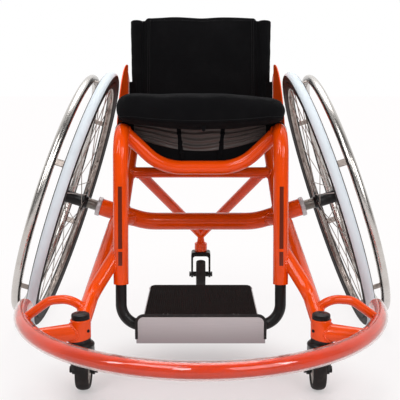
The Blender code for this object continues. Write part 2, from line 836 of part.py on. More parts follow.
def spoke(turn, face, way):
    """One spoke, from a flange to the rim's bed, passing beside the spokes that it crosses."""
    split = way * SPOKE_SPLIT
    start = on_wheel(FLANGE_R - SPOKE_INSET, turn + way * SPOKE_CROSS, face * FLANGE_OFFSET + split)
    end = on_wheel(RIM_BED_R - GAP - SPOKE_R, turn, face * RIM_BED_HALF_WIDTH / 4 + split)
    along = end - start
    bm = bmesh.new()
    bmesh.ops.create_cone(
        bm, cap_ends=True, segments=SPOKE_SIDES, radius1=SPOKE_R, radius2=SPOKE_R, depth=along.length
    )
    turn_to = along.to_track_quat("Z", "Y").to_matrix().to_4x4()
    bmesh.ops.transform(bm, matrix=Matrix.Translation((start + end) / 2) @ turn_to, verts=bm.verts)
    return from_bmesh("spoke", bm)


def hub():
    """The hub shell with both flanges and its laced spokes, bored for the axle."""
    inside = FLANGE_OFFSET - FLANGE_THICKNESS / 2
    outside = FLANGE_OFFSET + FLANGE_THICKNESS / 2
    half = [
        (HUB_BARREL_R, inside),
        (FLANGE_R, inside),
        (FLANGE_R, outside),
        (HUB_BARREL_R, outside),
        (HUB_BARREL_R, HUB_HALF_LENGTH),
        (0, HUB_HALF_LENGTH),
    ]
    piece = turned("hub", [(r, -z) for r, z in reversed(half)] + half)
    for i in range(SPOKES):
        face = 1 if i % 2 else -1
        way = 1 if i // 2 % 2 else -1
        join(piece, spoke(math.tau * i / SPOKES, face, way))
    return cut(piece, rod("bore", AXLE_BORE_R, -2 * HUB_HALF_LENGTH, 2 * HUB_HALF_LENGTH))


def handrim():
    """The ring the player pushes, with the tabs that hold it to the rim."""
    last = math.tau * (1 - 1 / HANDRIM_SECTION_POINTS)
    centre = (HANDRIM_R, HANDRIM_OFFSET)
    profile = arc(centre, HANDRIM_TUBE_R, 0, last, HANDRIM_SECTION_POINTS - 1)
    piece = turned("handrim", profile, WHEEL_STEPS, ring=True)
    half = TAB_THICKNESS / 2
    seat = rim_side(HANDRIM_R + half) + GAP
    for i in range(HANDRIM_TABS):
        tab = box(
            "tab",
            (HANDRIM_R - half, -TAB_WIDTH / 2, seat),
            (HANDRIM_R + half, TAB_WIDTH / 2, HANDRIM_OFFSET),
        )
        join(piece, moved(tab, Matrix.Rotation(math.tau * (i + 0.5) / HANDRIM_TABS, 4, "Z")))
    return piece


def axle_sleeve():
    """The threaded sleeve that carries the axle, with its plug in the camber tube."""
    step = TUBE_END - GAP
    profile = [
        (0, PLUG_END),
        (PLUG_R, PLUG_END),
        (PLUG_R, step),
        (SLEEVE_R, step),
        (SLEEVE_R, -HUB_HALF_LENGTH - RUNNING),
        (0, -HUB_HALF_LENGTH - RUNNING),
    ]
    bore = rod("bore", AXLE_R + GAP, AXLE_INNER_END - GAP, 0)
    return cut(turned("sleeve", profile), bore)


def axle_collar():
    """The lock ring on the sleeve, against the camber tube's end."""
    low = TUBE_END + GAP
    high = low + COLLAR_WIDTH - GAP
    inner = SLEEVE_R + GAP
    profile = [
        (inner, low),
        (COLLAR_R, low),
        (COLLAR_R, high - COLLAR_CHAMFER),
        (COLLAR_R - COLLAR_CHAMFER, high),
        (inner, high),
    ]
    return turned("collar", profile, ring=True)


def axle_pin():
    """The quick-release axle, with its head bored for the button."""
    face = HUB_HALF_LENGTH + RUNNING
    top = face + AXLE_HEAD_LENGTH
    profile = [
        (0, AXLE_INNER_END),
        (AXLE_R, AXLE_INNER_END),
        (AXLE_R, face),
        (AXLE_HEAD_R, face),
        (AXLE_HEAD_R, top - AXLE_HEAD_CHAMFER),
        (AXLE_HEAD_R - AXLE_HEAD_CHAMFER, top),
        (0, top),
    ]
    floor = top + BUTTON_PROUD - BUTTON_LENGTH - BUTTON_TRAVEL - 2 * GAP
    return cut(turned("pin", profile), rod("bore", BUTTON_R + GAP, floor, top + OVERRUN))


def axle_button():
    high = HUB_HALF_LENGTH + RUNNING + AXLE_HEAD_LENGTH + BUTTON_PROUD
    return rod("button", BUTTON_R, high - BUTTON_LENGTH, high)


# Casters, each about its own swivel axis


def fork(width, top, crown, axle_z, trail):
    """A fork, where its front outline meets its side outline."""
    half = width / 2
    inside = half - FORK_LEG
    corner = FORK_CORNER
    low = axle_z - FORK_FOOT_R
    outer = arc((half - corner, top - corner), corner, 0, math.pi / 2, 3)
    inner = arc((inside - corner, top - crown - corner), corner, math.pi / 2, 0, 3)
    front = [(half, low)] + outer + [(-a, b) for a, b in reversed(outer)]
    front += [(-half, low), (-inside, low)]
    front += [(-a, b) for a, b in reversed(inner)] + inner + [(inside, low)]
    way = math.copysign(1, trail)
    foot = arc((0, axle_z), FORK_FOOT_R, 0, -math.pi, 6)
    outline = [(trail + way * a, b) for a, b in foot]
    outline.append((-way * FORK_CROWN_FRONT, top - crown - CROWN_HAUNCH))
    outline.append((-way * FORK_CROWN_FRONT, top))
    outline.append((way * FORK_CROWN_REAR, top))
    from_front = prism("fork", front, -width, width, 1)
    from_side = prism("side", outline, -width, width, 0)
    return combine(from_front, from_side, "INTERSECT")


def front_fork():
    shape = fork(FRONT_FORK_WIDTH, FORK_TOP, CROWN_THICKNESS, CASTER_R, CASTER_TRAIL)
    join(shape, rod("stem", STEM_R, FORK_TOP - CROWN_THICKNESS / 2, HOUSING_TOP - STEM_SHORT))
    bore = across("bore", BOLT_R + GAP, -REAR_FORK_WIDTH, REAR_FORK_WIDTH, BOLT_STEPS)
    return cut(shape, moved(bore, Matrix.Translation((0, CASTER_TRAIL, CASTER_R))))


def rear_fork():
    width, crown = REAR_FORK_WIDTH, REAR_CROWN_THICKNESS
    shape = fork(width, REAR_FORK_TOP, crown, REAR_AXLE_Z, -CASTER_TRAIL)
    stem_top = REAR_RING_TOP - RING_ROOF - 2 * GAP
    join(shape, rod("stem", STEM_R, REAR_FORK_TOP - crown / 2, stem_top))
    bore = across("bore", BOLT_R + GAP, -REAR_FORK_WIDTH, REAR_FORK_WIDTH, BOLT_STEPS)
    return cut(shape, moved(bore, Matrix.Translation((0, -CASTER_TRAIL, REAR_AXLE_Z))))


def across(name, radius, low, high, steps=TURNED_STEPS):
    """A round bar along X."""
    return moved(rod(name, radius, low, high, steps), Matrix.Rotation(math.pi / 2, 4, "Y"))


def caster_bolt(width):
    """The axle bolt with its head, nut and the spacers beside the wheel."""
    half = width / 2
    spacer_r = BOLT_R + SPACER_WALL
    outer = [
        (spacer_r, CASTER_WIDTH / 2 + RUNNING),
        (spacer_r, half - FORK_LEG - GAP),
        (BOLT_R, half - FORK_LEG - GAP),
        (BOLT_R, half + BOLT_HEAD / 2),
        (0, half + BOLT_HEAD / 2),
    ]
    outer = [(BOLT_R, CASTER_WIDTH / 2 + RUNNING)] + outer
    piece = turned("bolt", [(r, -z) for r, z in reversed(outer)] + outer, BOLT_STEPS)
    moved(piece, Matrix.Rotation(math.pi / 2, 4, "Y"))
    for side in (1, -1):
        ends = sorted((side * (half + GAP), side * (half + BOLT_HEAD)))
        join(piece, across("head", BOLT_HEAD_R, *ends, 6))
    return piece


def caster_wheel():
    """A solid caster tyre on its core, turned, with a dished face and the axle bore."""
    half = CASTER_WIDTH / 2
    profile = [
        (BOLT_R + RUNNING + GAP, -half),
        (CASTER_CORE_R, -half),
        (CASTER_R - CASTER_SHOULDER, CASTER_DISH - half),
        (CASTER_R - CASTER_DISH, -half / 2),
    ]
    profile += [(CASTER_R, 0)] + [(radius, -height) for radius, height in reversed(profile)]
    piece = turned("wheel", profile, CASTER_STEPS, ring=True)
    return moved(piece, Matrix.Rotation(math.pi / 2, 4, "Y"))


def caster_cap(side):
    low = HOUSING_TOP + GAP
    high = low + CAP_HEIGHT
    profile = [(0, low), (CAP_R, low), (CAP_R, high - CAP_CHAMFER)]
    profile += [(CAP_R - CAP_CHAMFER, high), (0, high)]
    return moved(turned("cap", profile), Matrix.Translation((side * CASTER_X, CASTER_Y, 0)))


# Footrest


def foot_tube():
    return tube("foot_tube", foot_path(), FOOT_TUBE_R)


def apron_outline(grow, drop=0.0):
    """The apron seen from the front, with round upper corners, grown at its sides and top."""
    half = APRON_HALF_WIDTH + grow
    top = APRON_TOP_Z + grow
    radius = APRON_CORNER + grow
    upper = arc((half - radius, top - radius), radius, 0, math.pi / 2, 4)
    right = [(half, APRON_LOW_Z - drop)] + upper
    return right + [(-x, z) for x, z in reversed(right)]


def footplate():
    """The tread with its folded edges, welded to the back of the apron."""
    half = PLATE_HALF_WIDTH
    back = PLATE_FRONT_Y + PLATE_WALL
    low = PLATE_TOP_Z - PLATE_FLANGE
    under = PLATE_TOP_Z - PLATE_WALL
    fold = arc((half - PLATE_FOLD, PLATE_TOP_Z - PLATE_FOLD), PLATE_FOLD, 0, math.pi / 2, 3)
    right = [(half, low)] + fold
    outline = right + [(-x, z) for x, z in reversed(right)]
    tread = prism("tread", outline, back - PLATE_WALL / 2, PLATE_REAR_Y, 1)
    inner = half - PLATE_WALL
    cut(tread, box("hollow", (-inner, back, low - OVERRUN), (inner, PLATE_REAR_Y - PLATE_WALL, under)))
    return join(prism("apron", apron_outline(0), PLATE_FRONT_Y, back, 1), tread)


def footplate_mat():
    half_x = PLATE_HALF_WIDTH - MAT_BORDER
    rear = PLATE_REAR_Y - MAT_BORDER
    half_y = (rear - MAT_FRONT_Y) / 2
    low = PLATE_TOP_Z + GAP
    outline = rounded_rectangle(half_x, half_y, MAT_CORNER, 3)
    piece = prism("mat", outline, low, low + MAT_THICKNESS, 2)
    return moved(piece, Matrix.Translation((0, (rear + MAT_FRONT_Y) / 2, 0)))


def footplate_trim():
    """The edging: a channel that straddles the apron's sides and top."""
    wall = TRIM_WALL + GAP
    front = PLATE_FRONT_Y - wall
    back = PLATE_FRONT_Y + PLATE_WALL + wall
    piece = prism("trim", apron_outline(GAP + TRIM_EDGE), front, back, 1)
    inner = apron_outline(-TRIM_LIP, OVERRUN)
    window = prism("window", inner, front - OVERRUN, back + OVERRUN, 1)
    sheet = (PLATE_FRONT_Y - GAP, PLATE_FRONT_Y + PLATE_WALL + GAP)
    slot = prism("slot", apron_outline(GAP, OVERRUN), *sheet, 1)
    return cut(piece, window, slot)


def footplate_clamp():
    """The bar under the tread and its two rings round the footrest tube."""
    pivot = leg_point(FOOT_TUBE_Z)
    bore_r = sliding(FOOT_TUBE_R)
    ring_r = bore_r + CLAMP_WALL
    high = PLATE_TOP_Z - PLATE_WALL - GAP
    end = CLAMP_X + CLAMP_WIDTH / 2
    front = pivot.y - CLAMP_BAR_FRONT
    piece = box("bar", (-end, front, high - CLAMP_BAR), (end, pivot.y + ring_r, high))
    turn = Matrix.Rotation(math.pi / 2, 4, "Y")
    for side in (1, -1):
        low = side * CLAMP_X - CLAMP_WIDTH / 2
        ring = moved(rod("ring", ring_r, low, low + CLAMP_WIDTH), turn)
        moved(ring, Matrix.Translation((0, pivot.y, pivot.z)))
        block = box(
            "block",
            (low + GAP, front + GAP, pivot.z),
            (low + CLAMP_WIDTH - GAP, pivot.y - front + pivot.y, high - GAP),
        )
        join(piece, ring, block)
    bore = moved(rod("bore", bore_r, -2 * CLAMP_X, 2 * CLAMP_X, TUBE_SIDES), turn)
    return cut(piece, moved(bore, Matrix.Translation((0, pivot.y, pivot.z))))


# Seat, in a frame whose Y runs back along the rails


def cushion_outline(half_x, half_y, radius):
    """A rounded rectangle whose straight sides have points of their own."""
    corners = rounded_rectangle(half_x, half_y, radius, 3)
    outline = []
    for i, (x, y) in enumerate(corners):
        outline.append((x, y))
        if i % 4 == 3:
            next_x, next_y = corners[(i + 1) % len(corners)]
            for k in range(1, CUSHION_SIDE_STEPS):
                share = k / CUSHION_SIDE_STEPS
                outline.append((x + (next_x - x) * share, y + (next_y - y) * share))
    return outline


def cushion_sag(x):
    """How far the cushion's bottom hangs below the rails' tops."""
    return CUSHION_SAG * max(0.0, 1 - (x / CUSHION_SAG_HALF) ** 2)


def cushion_crown(x, y, half_y):
    return CUSHION_CROWN * (1 - (x / CUSHION_HALF_WIDTH) ** 2) * (1 - (y / half_y) ** 2)


def seat_cushion():
    """A boxed foam cushion: rounded plan, drawn-in seams, bulged sides, a crown and a sag."""
    low = RAIL_R + SLING_WALL + 2 * GAP
    half_y = (CUSHION_REAR - CUSHION_FRONT) / 2
    middle_y = (CUSHION_REAR + CUSHION_FRONT) / 2
    edge = CUSHION_EDGE
    half_side = [(0.018, 0.0), (0.006, 0.0012), (0.0035, 0.006), (0.001, 0.3 * edge)]
    sides = half_side + [(0, edge / 2)] + [(a, edge - b) for a, b in reversed(half_side)]
    shares = (0.25, 0.55, 0.85)
    levels = [(0, 0, share) for share in shares]
    levels += [(*row, 1) for row in sides]
    levels += [(0, edge, share) for share in reversed(shares)]
    bm = bmesh.new()
    rings = []
    for inset, height, share in levels:
        half_x = (CUSHION_HALF_WIDTH - inset) * share
        half_length = (half_y - inset) * share
        up = height / edge
        ring = []
        for x, y in cushion_outline(half_x, half_length, CUSHION_CORNER * share):
            z = low + height - cushion_sag(x) * (1 - up) + cushion_crown(x, y, half_y) * up
            ring.append(bm.verts.new((x, middle_y + y, z)))
        rings.append(ring)
    for below, above in zip(rings, rings[1:]):
        for i in range(len(below)):
            j = (i + 1) % len(below)
            bm.faces.new((below[i], below[j], above[j], above[i]))
    bm.faces.new(rings[0])
    bm.faces.new(rings[-1])
    return moved(from_bmesh("cushion", bm), SEAT_FRAME)


def seat_sling():
    """The seat upholstery: sleeves on both rails, the hung trough and its front flap."""
    wall = SLING_WALL
    ring_r = RAIL_R + GAP + wall
    join_x = SEAT_HALF - RAIL_R * SLING_JOIN[0]
    join_z = RAIL_R * SLING_JOIN[1]
    bottom = -SLING_SAG
    slope = SLING_SLOPE_WALL
    upper = [(join_x, join_z), (SLING_FLAT_HALF, bottom + wall)]
    lower = [(SLING_FLAT_HALF + slope - wall, bottom), (join_x + slope, join_z)]
    outline = upper + [(-x, z) for x, z in reversed(upper)]
    outline += [(-x, z) for x, z in reversed(lower)] + lower
    piece = prism("trough", outline, SLING_FRONT, SLING_REAR, 1)
    flap_top = RAIL_R + wall - GAP
    flap_x = SEAT_HALF - FLAP_INSET
    knots = [flap_x * (1 - 2 * i / FLAP_STEPS) for i in range(FLAP_STEPS + 1)]
    flap = [(x, flap_top - cushion_sag(x)) for x in knots]
    foot = [(join_x, join_z), (SLING_FLAT_HALF, bottom + wall / 2)]
    flap += [(-x, z) for x, z in foot] + foot[::-1]
    join(piece, prism("flap", flap, SLING_FRONT + GAP, SLING_FRONT + 2 * wall, 1))
    for _, side in SIDES:
        sleeve = rod("sleeve", ring_r, SLING_FRONT - GAP, SLING_REAR - GAP)
        turn = Matrix.Rotation(-math.pi / 2, 4, "X")
        join(piece, moved(sleeve, Matrix.Translation((side * SEAT_HALF, 0, 0)) @ turn))
    moved(piece, SEAT_FRAME)
    for _, side in SIDES:
        cut(piece, grown("rail", rail_path(), RAIL_R, side))
    return piece


# Backrest, in a frame at its pivot whose Z runs up along the canes


def back_matrix():
    pivot = rail_point(PIVOT_Y)
    return Matrix.Translation((0, pivot.y, pivot.z)) @ Matrix.Rotation(-BACK_LEAN, 4, "X")


def back_bar_y():
    """The axis of the bar behind the canes, from the canes' plane."""
    return CANE_R * BACK_BAR_SEAT + BACK_BAR_R


def back_frame():
    """Both canes, the bar behind them, the tabs at the guards and the lock bolts."""
    end = (SEAT_HALF, back_bar_y(), BACK_BAR_HEIGHT)
    piece = tube("bar", [end, mirrored(end, -1)], BACK_BAR_R)
    tab_out = GUARD_X - SEAT_HALF - 2 * GAP
    for _, side in SIDES:
        place = Matrix.Translation((side * SEAT_HALF, 0, 0))
        cane = moved(rod("cane", CANE_R, -CANE_TAIL, CANE_LENGTH, TUBE_SIDES), place)
        low, high = sorted((-side * CANE_R, side * tab_out))
        front = -CANE_R - TAB_PROUD
        tab = box("tab", (low, front, TAB_LOW), (high, TAB_PLATE - CANE_R, TAB_HIGH))
        ends = sorted((0, -side * (CANE_R + LOCK_BOLT_REACH)))
        bolt = across("bolt", LOCK_BOLT_R, *ends, LOCK_BOLT_STEPS)
        moved(bolt, Matrix.Translation((0, 0, BRACKET_SLOT_R)))
        join(piece, cane, moved(tab, place), moved(bolt, place))
        hole = across("hole", BACK_PIN_R + RUNNING, -2 * CANE_R, 2 * CANE_R)
        cut(piece, moved(hole, place))
    return moved(piece, back_matrix())


def back_upholstery():
    """The back panel, padded in front, with a sleeve over each cane and a waved top hem."""
    rows = PANEL_ROWS
    columns = PANEL_COLUMNS
    bm = bmesh.new()
    grid = {}
    for layer in (0, 1):
        for i in range(rows + 1):
            for j in range(columns + 1):
                u = i / rows
                x = PANEL_HALF_WIDTH * (2 * j / columns - 1)
                share = x / PANEL_HALF_WIDTH
                wave = PANEL_WAVE * math.cos(2 * math.pi * (abs(share) - 0.5))
                top = PANEL_HIGH + wave - 2 * PANEL_WAVE * share**4
                z = PANEL_LOW + (top - PANEL_LOW) * u
                pad = PANEL_PAD * (1 - share**4) * math.sin(math.pi * (0.12 + 0.76 * u))
                y = CANE_R * PANEL_BACK if layer else -PANEL_THICKNESS / 2 - pad
                grid[layer, i, j] = bm.verts.new((x, y, z))
    square = ((0, 0), (0, 1), (1, 1), (1, 0))
    for i in range(rows):
        for j in range(columns):
            for layer in (0, 1):
                bm.faces.new([grid[layer, i + a, j + b] for a, b in square])
    for i in range(rows):
        for j in (0, columns):
            bm.faces.new([grid[a, i + b, j] for a, b in square])
    for j in range(columns):
        for i in (0, rows):
            bm.faces.new([grid[a, i, j + b] for a, b in square])
    piece = from_bmesh("panel", bm)
    high = CANE_LENGTH + BACK_SLEEVE_TOP
    for _, side in SIDES:
        place = Matrix.Translation((side * SEAT_HALF, 0, 0))
        profile = [
            (0, SLEEVE_LOW),
            (BACK_SLEEVE_R, SLEEVE_LOW),
            (BACK_SLEEVE_R, high - BACK_SLEEVE_CHAMFER),
            (BACK_SLEEVE_R - BACK_SLEEVE_CHAMFER, high),
            (0, high),
        ]
        join(piece, moved(turned("sleeve", profile), place))
        bore = rod("bore", CANE_R + 2 * GAP, PANEL_LOW - OVERRUN, CANE_LENGTH + GAP, TUBE_SIDES)
        cut(piece, moved(bore, place))
    slot_half = BACK_BAR_R + BACK_BAR_CLEARANCE
    groove = box(
        "groove",
        (-SEAT_HALF, back_bar_y() - slot_half, BACK_BAR_HEIGHT - slot_half),
        (SEAT_HALF, back_bar_y() + BACK_SLEEVE_R, BACK_BAR_HEIGHT + slot_half),
    )
    cut(piece, groove)
    return moved(piece, back_matrix())


def on_slot(pivot, turn):
    """The point of the lock slot's middle line at this turn."""
    return (pivot.y + BRACKET_SLOT_R * math.cos(turn), pivot.z + BRACKET_SLOT_R * math.sin(turn))


def lock_slot(pivot):
    """The outline of the slot round the pivot that the cane's lock bolt travels in."""
    middle = (pivot.y, pivot.z)
    half = LOCK_BOLT_R + 2 * GAP
    low = math.pi / 2 - BACK_LEAN - BACK_ANGLE - BACK_SPARE
    high = math.pi / 2 - BACK_LEAN + BACK_ANGLE + BACK_SPARE
    outline = arc(middle, BRACKET_SLOT_R + half, low, high, 6)
    end = (high + SLOT_END_TURN, high + math.pi - SLOT_END_TURN)
    outline += arc(on_slot(pivot, high), half, *end, 4)
    outline += arc(middle, BRACKET_SLOT_R - half, high, low, 6)
    end = (low + math.pi + SLOT_END_TURN, low + math.tau - SLOT_END_TURN)
    outline += arc(on_slot(pivot, low), half, *end, 4)
    return outline


def back_bracket(side):
    """The plate on a rail's inner face that carries the cane's pivot and its lock slot."""
    pivot = rail_point(PIVOT_Y)
    outer = SEAT_HALF - RAIL_R - GAP
    inner = outer - BRACKET_WALL
    rail_up = RAIL_R * SLING_JOIN[0]
    front = rail_point(PIVOT_Y - BRACKET_REACH)
    neck = (pivot.y - BRACKET_NECK[0], pivot.z + BRACKET_NECK[1])
    outline = [(front.y, front.z - rail_up), (front.y, front.z + rail_up), neck]
    crown = (pivot.y + BRACKET_CROWN_R, pivot.z + BRACKET_SLOT_R)
    outline += reversed(arc(crown, BRACKET_CROWN_R, 0, math.pi * 0.9, 5))
    outline += reversed(arc((pivot.y, pivot.z), BRACKET_HEEL_R, -math.pi / 2, 0, 4))
    piece = prism("plate", outline, inner, outer, 0)
    cut(piece, prism("slot", lock_slot(pivot), inner - OVERRUN, outer + OVERRUN, 0))
    pin = across("pin", BACK_PIN_R, inner - PIN_HEAD_PROUD, SEAT_HALF + CANE_R + PIN_HEAD_PROUD)
    join(piece, moved(pin, Matrix.Translation((0, pivot.y, pivot.z))))
    if side < 0:
        moved(piece, Matrix.Scale(-1, 4, (1, 0, 0)))
        piece.data.flip_normals()
    return piece


# Assembly


def build_side(name, side, chair):
    """One side's frame tubes, wheel and front caster."""
    made = {
        "rail": (rail(side), "orange"),
        "upright": (upright(side), "orange"),
        "lower_tube": (lower_tube(side), "orange"),
        "leg_brace": (leg_brace(side), "orange"),
        "caster_housing": (caster_housing(side), "orange"),
        "bumper_arch": (bumper_arch(side), "orange"),
        "side_guard": (side_guard(side), "orange"),
        "caster_cap": (caster_cap(side), "black"),
        "back_bracket": (back_bracket(side), "black"),
    }
    for kind, (piece, colour) in made.items():
        piece.name = f"{name}_{kind}"
        moved(piece, chair.matrix_world)
        finish(piece, colour, chair)
    tilt = (0, side * (math.pi / 2 - CAMBER), 0)
    axle = empty(f"{name}_wheel_axis", chair, (side * HUB_X, 0, HUB_Z), tilt)
    wheel = {
        "tyre": (tyre(side), "tyre"),
        "rim": (rim(), "chrome"),
        "hub_and_spokes": (hub(), "black"),
        "handrim": (handrim(), "chrome"),
        "axle_sleeve": (axle_sleeve(), "satin"),
        "axle_collar": (axle_collar(), "silver"),
        "axle_pin": (axle_pin(), "satin"),
        "axle_button": (axle_button(), "silver"),
    }
    for kind, (piece, colour) in wheel.items():
        piece.name = f"{name}_{kind}"
        moved(piece, axle.matrix_world)
        finish(piece, colour, axle)
    swivel = empty(f"{name}_swivel_axis", chair, (side * CASTER_X, CASTER_Y, 0))
    axle_place = (0, CASTER_TRAIL, CASTER_R)
    build_caster(f"{name}_caster", swivel, front_fork(), FRONT_FORK_WIDTH, axle_place)


def build_caster(name, swivel, fork_piece, width, axle_place):
    """A fork on a swivel axis, with the bolt and the wheel at the axle's empty."""
    axle = empty(f"{name}_axle_axis", swivel, axle_place)
    for kind, piece, colour, parent in (
        ("fork", fork_piece, "black", swivel),
        ("bolt", caster_bolt(width), "satin", axle),
        ("wheel", caster_wheel(), "rubber", axle),
    ):
        piece.name = f"{name}_{kind}"
        moved(piece, parent.matrix_world)
        finish(piece, colour, parent)


def build_middle(chair):
    """What lies across the chair: tubes, bumper, seat, footrest and backrest."""
    pivot = rail_point(PIVOT_Y)
    foot = leg_point(FOOT_TUBE_Z)
    slide = empty("footrest_slide_axis", chair, (0, foot.y, foot.z))
    tread = empty("footplate_tilt_axis", slide, (0, 0, 0))
    back = empty("backrest_pivot_axis", chair, (0, pivot.y, pivot.z))
    rear = empty("rear_swivel_axis", chair, (0, REAR_CASTER_Y, 0))
    made = (
        ("camber_tube", camber_tube(), "orange", chair),
        ("front_seat_tube", front_seat_tube(), "orange", chair),
        ("rear_cross_tube", rear_cross_tube(), "orange", chair),
        ("rear_stays", rear_stays(), "orange", chair),
        ("rear_caster_housing", rear_caster_housing(), "orange", chair),
        ("bumper_bar", tube("bar", bumper_path(BUMPER_END), BUMPER_BAR_R, BUMPER_SIDES), "orange", chair),
        ("bumper_hose", bumper_hose(), "hose", chair),
        ("footrest_tube", foot_tube(), "black", slide),
        ("footplate", footplate(), "silver", tread),
        ("footplate_mat", footplate_mat(), "rubber", tread),
        ("footplate_trim", footplate_trim(), "black", tread),
        ("footplate_clamp", footplate_clamp(), "black", tread),
        ("seat_sling", seat_sling(), "webbing", chair),
        ("seat_cushion", seat_cushion(), "fabric", chair),
        ("back_frame", back_frame(), "black", back),
        ("back_upholstery", back_upholstery(), "fabric", back),
    )
    for name, piece, colour, parent in made:
        piece.name = name
        moved(piece, chair.matrix_world)
        finish(piece, colour, parent)
    axle_place = (0, -CASTER_TRAIL, REAR_AXLE_Z)
    build_caster("rear_caster", rear, rear_fork(), REAR_FORK_WIDTH, axle_place)


def main():
    clear_scene()
    chair = empty("axle_line", None, (0, AXLE_Y, 0))
    for name, side in SIDES:
        build_side(name, side, chair)
    build_middle(chair)


main()
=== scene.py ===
"""A basketball wheelchair, dressed piece by piece over its jointed frame."""
import json
from math import acos, asin, atan2, cos, sin, tan
from math import degrees, dist, hypot, pi, radians, remainder, sqrt, tau

import bmesh
import bpy
from bpy.props import FloatProperty, FloatVectorProperty, IntProperty, PointerProperty
from mathutils import Matrix, Vector, noise


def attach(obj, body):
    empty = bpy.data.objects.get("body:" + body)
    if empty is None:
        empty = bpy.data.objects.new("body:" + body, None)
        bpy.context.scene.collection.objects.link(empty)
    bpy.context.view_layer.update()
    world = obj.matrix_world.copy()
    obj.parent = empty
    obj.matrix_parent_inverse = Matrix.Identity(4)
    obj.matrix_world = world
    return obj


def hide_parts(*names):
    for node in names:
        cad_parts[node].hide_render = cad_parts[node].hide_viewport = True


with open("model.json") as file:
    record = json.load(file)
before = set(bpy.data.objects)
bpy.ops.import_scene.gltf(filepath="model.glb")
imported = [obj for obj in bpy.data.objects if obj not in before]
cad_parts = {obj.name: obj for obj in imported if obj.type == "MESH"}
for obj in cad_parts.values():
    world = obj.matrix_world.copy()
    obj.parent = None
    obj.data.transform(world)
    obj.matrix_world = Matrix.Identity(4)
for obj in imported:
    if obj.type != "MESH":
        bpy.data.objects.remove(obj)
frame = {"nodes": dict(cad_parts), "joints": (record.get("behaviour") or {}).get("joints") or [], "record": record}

bl_info = {
    "name": "Basketball wheelchair",
    "version": (1, 0, 0),
    "blender": (4, 5, 0),
    "location": "View3D > Sidebar > Wheelchair",
    "description": "Models and finishes the pieces of a basketball wheelchair",
    "category": "Object",
}

# What the frame says

SLOT_OF = {row["node"]: row["material_slot"] for row in frame["record"]["subparts"]}
COLOUR_OF = {row["slot"]: row["base_color"][:3] for row in frame["record"]["materials"]}
JOINT = {row["name"]: row for row in frame["joints"]}
HUB = Vector(JOINT["left_wheel_spin"]["pos_m"])
CASTER_AXIS = Vector(JOINT["left_caster_swivel"]["pos_m"])
REAR_CASTER_AXIS = Vector(JOINT["rear_caster_swivel"]["pos_m"])
BACK_PIVOT = Vector(JOINT["backrest_tilt"]["pos_m"])
SIDES = (1, -1)

# Places and outlines, in metres unless they say otherwise


def at(x, y, z):
    """A point of the chair, with y counted back from the drive axles."""
    return Vector((x, y + HUB.y, z))


def flipped(point, side=-1):
    """The same point on the given side of the chair."""
    return Vector((side * point[0], point[1], point[2]))


def shift(x=0.0, y=0.0, z=0.0):
    return Matrix.Translation((x, y, z))


def swing(angle, axis):
    return Matrix.Rotation(angle, 4, axis)


def aimed(start, end):
    """The place of a piece whose Z runs from the start to the end."""
    return shift(*start) @ (end - start).to_track_quat("Z", "Y").to_matrix().to_4x4()


def polar(radius, turn):
    return radius * cos(turn), radius * sin(turn)


def arc(radius, start, end, steps, middle=(0, 0)):
    """Points of a circle from one angle to another, both ends among them."""
    turns = [start + (end - start) * i / steps for i in range(steps + 1)]
    return [(middle[0] + radius * cos(turn), middle[1] + radius * sin(turn)) for turn in turns]


def mm(*points):
    """Pairs given in millimetres."""
    return [(a / 1000, b / 1000) for a, b in points]


def across(points):
    """A run of (x, z) points on the left, carried on by its mirror image on the right."""
    return points + [(-x, z) for x, z in reversed(points)]


def doubled(profile):
    """A run of (radius, height) points, carried on by its mirror image in height."""
    return profile + [(r, -h) for r, h in reversed(profile)]


def share_of(value, start, length):
    """How far the value is along a stretch, held between 0 and 1."""
    return min(1.0, max(0.0, (value - start) / length))


def eased(share):
    return share * share * (3 - 2 * share)


# Sizes that several pieces share

CAMBER = radians(18)
RAIL_X = 0.158
RAIL_R = 0.015
CORNER_Y = -0.258
RAIL_CORNER = at(RAIL_X, CORNER_Y, 0.470)
SEAT_DUMP = radians(5.4)
LEG_LEAN = radians(6.5)
LEG_DOWN = Vector((0, -sin(LEG_LEAN), -cos(LEG_LEAN)))
LEG_END = 0.168
SEAT_TUBE_R = 0.014
UPRIGHT_R = 0.0135
CROSS_TUBE_R = 0.0125
CAMBER_TUBE_R = 0.020
LOWER_TUBE_R = 0.015
BRACE_R = 0.0145
STAY_R = 0.012
BARREL_R = 0.0185
LOWER_END = Vector((CASTER_AXIS.x, CASTER_AXIS.y, 0.126))
LOWER_ELBOW = at(0.193, -0.047, 0.2475)
BUMPER_R = 0.352
BUMPER_CENTRE = at(0, -0.273, 0.120)
BUMPER_BAR_R = 0.0125
HOSE_R = 0.0160
HOSE_WALL = 0.0029
ARCH_R = 0.0085
ARCH_TURN = 16.5
ARM_TURN = 32
BACK_LEAN = radians(14.5)
SEAT_PLACE = shift(*at(0, CORNER_Y, 0.470)) @ swing(-SEAT_DUMP, "X")
BACK_PLACE = shift(*BACK_PIVOT) @ swing(-BACK_LEAN, "X")
WHEEL_PLACE = shift(*HUB) @ swing(pi / 2 - CAMBER, "Y")


def rail_point(y):
    """The left seat rail's axis, at y from the axles."""
    return at(RAIL_X, y, RAIL_CORNER.z - (y - CORNER_Y) * tan(SEAT_DUMP))


def leg_point(z):
    """The left leg's axis at height z."""
    return RAIL_CORNER + LEG_DOWN * ((RAIL_CORNER.z - z) / cos(LEG_LEAN))


def lower_point(y):
    """The left lower tube's axis, on its straight run, at y from the axles."""
    share = (y + HUB.y - LOWER_ELBOW.y) / (LOWER_END.y - LOWER_ELBOW.y)
    return LOWER_ELBOW.lerp(LOWER_END, share)


def axle_point(x):
    """The point of the left wheel's axle line at x."""
    return Vector((x, HUB.y, HUB.z - (HUB.x - x) * tan(CAMBER)))


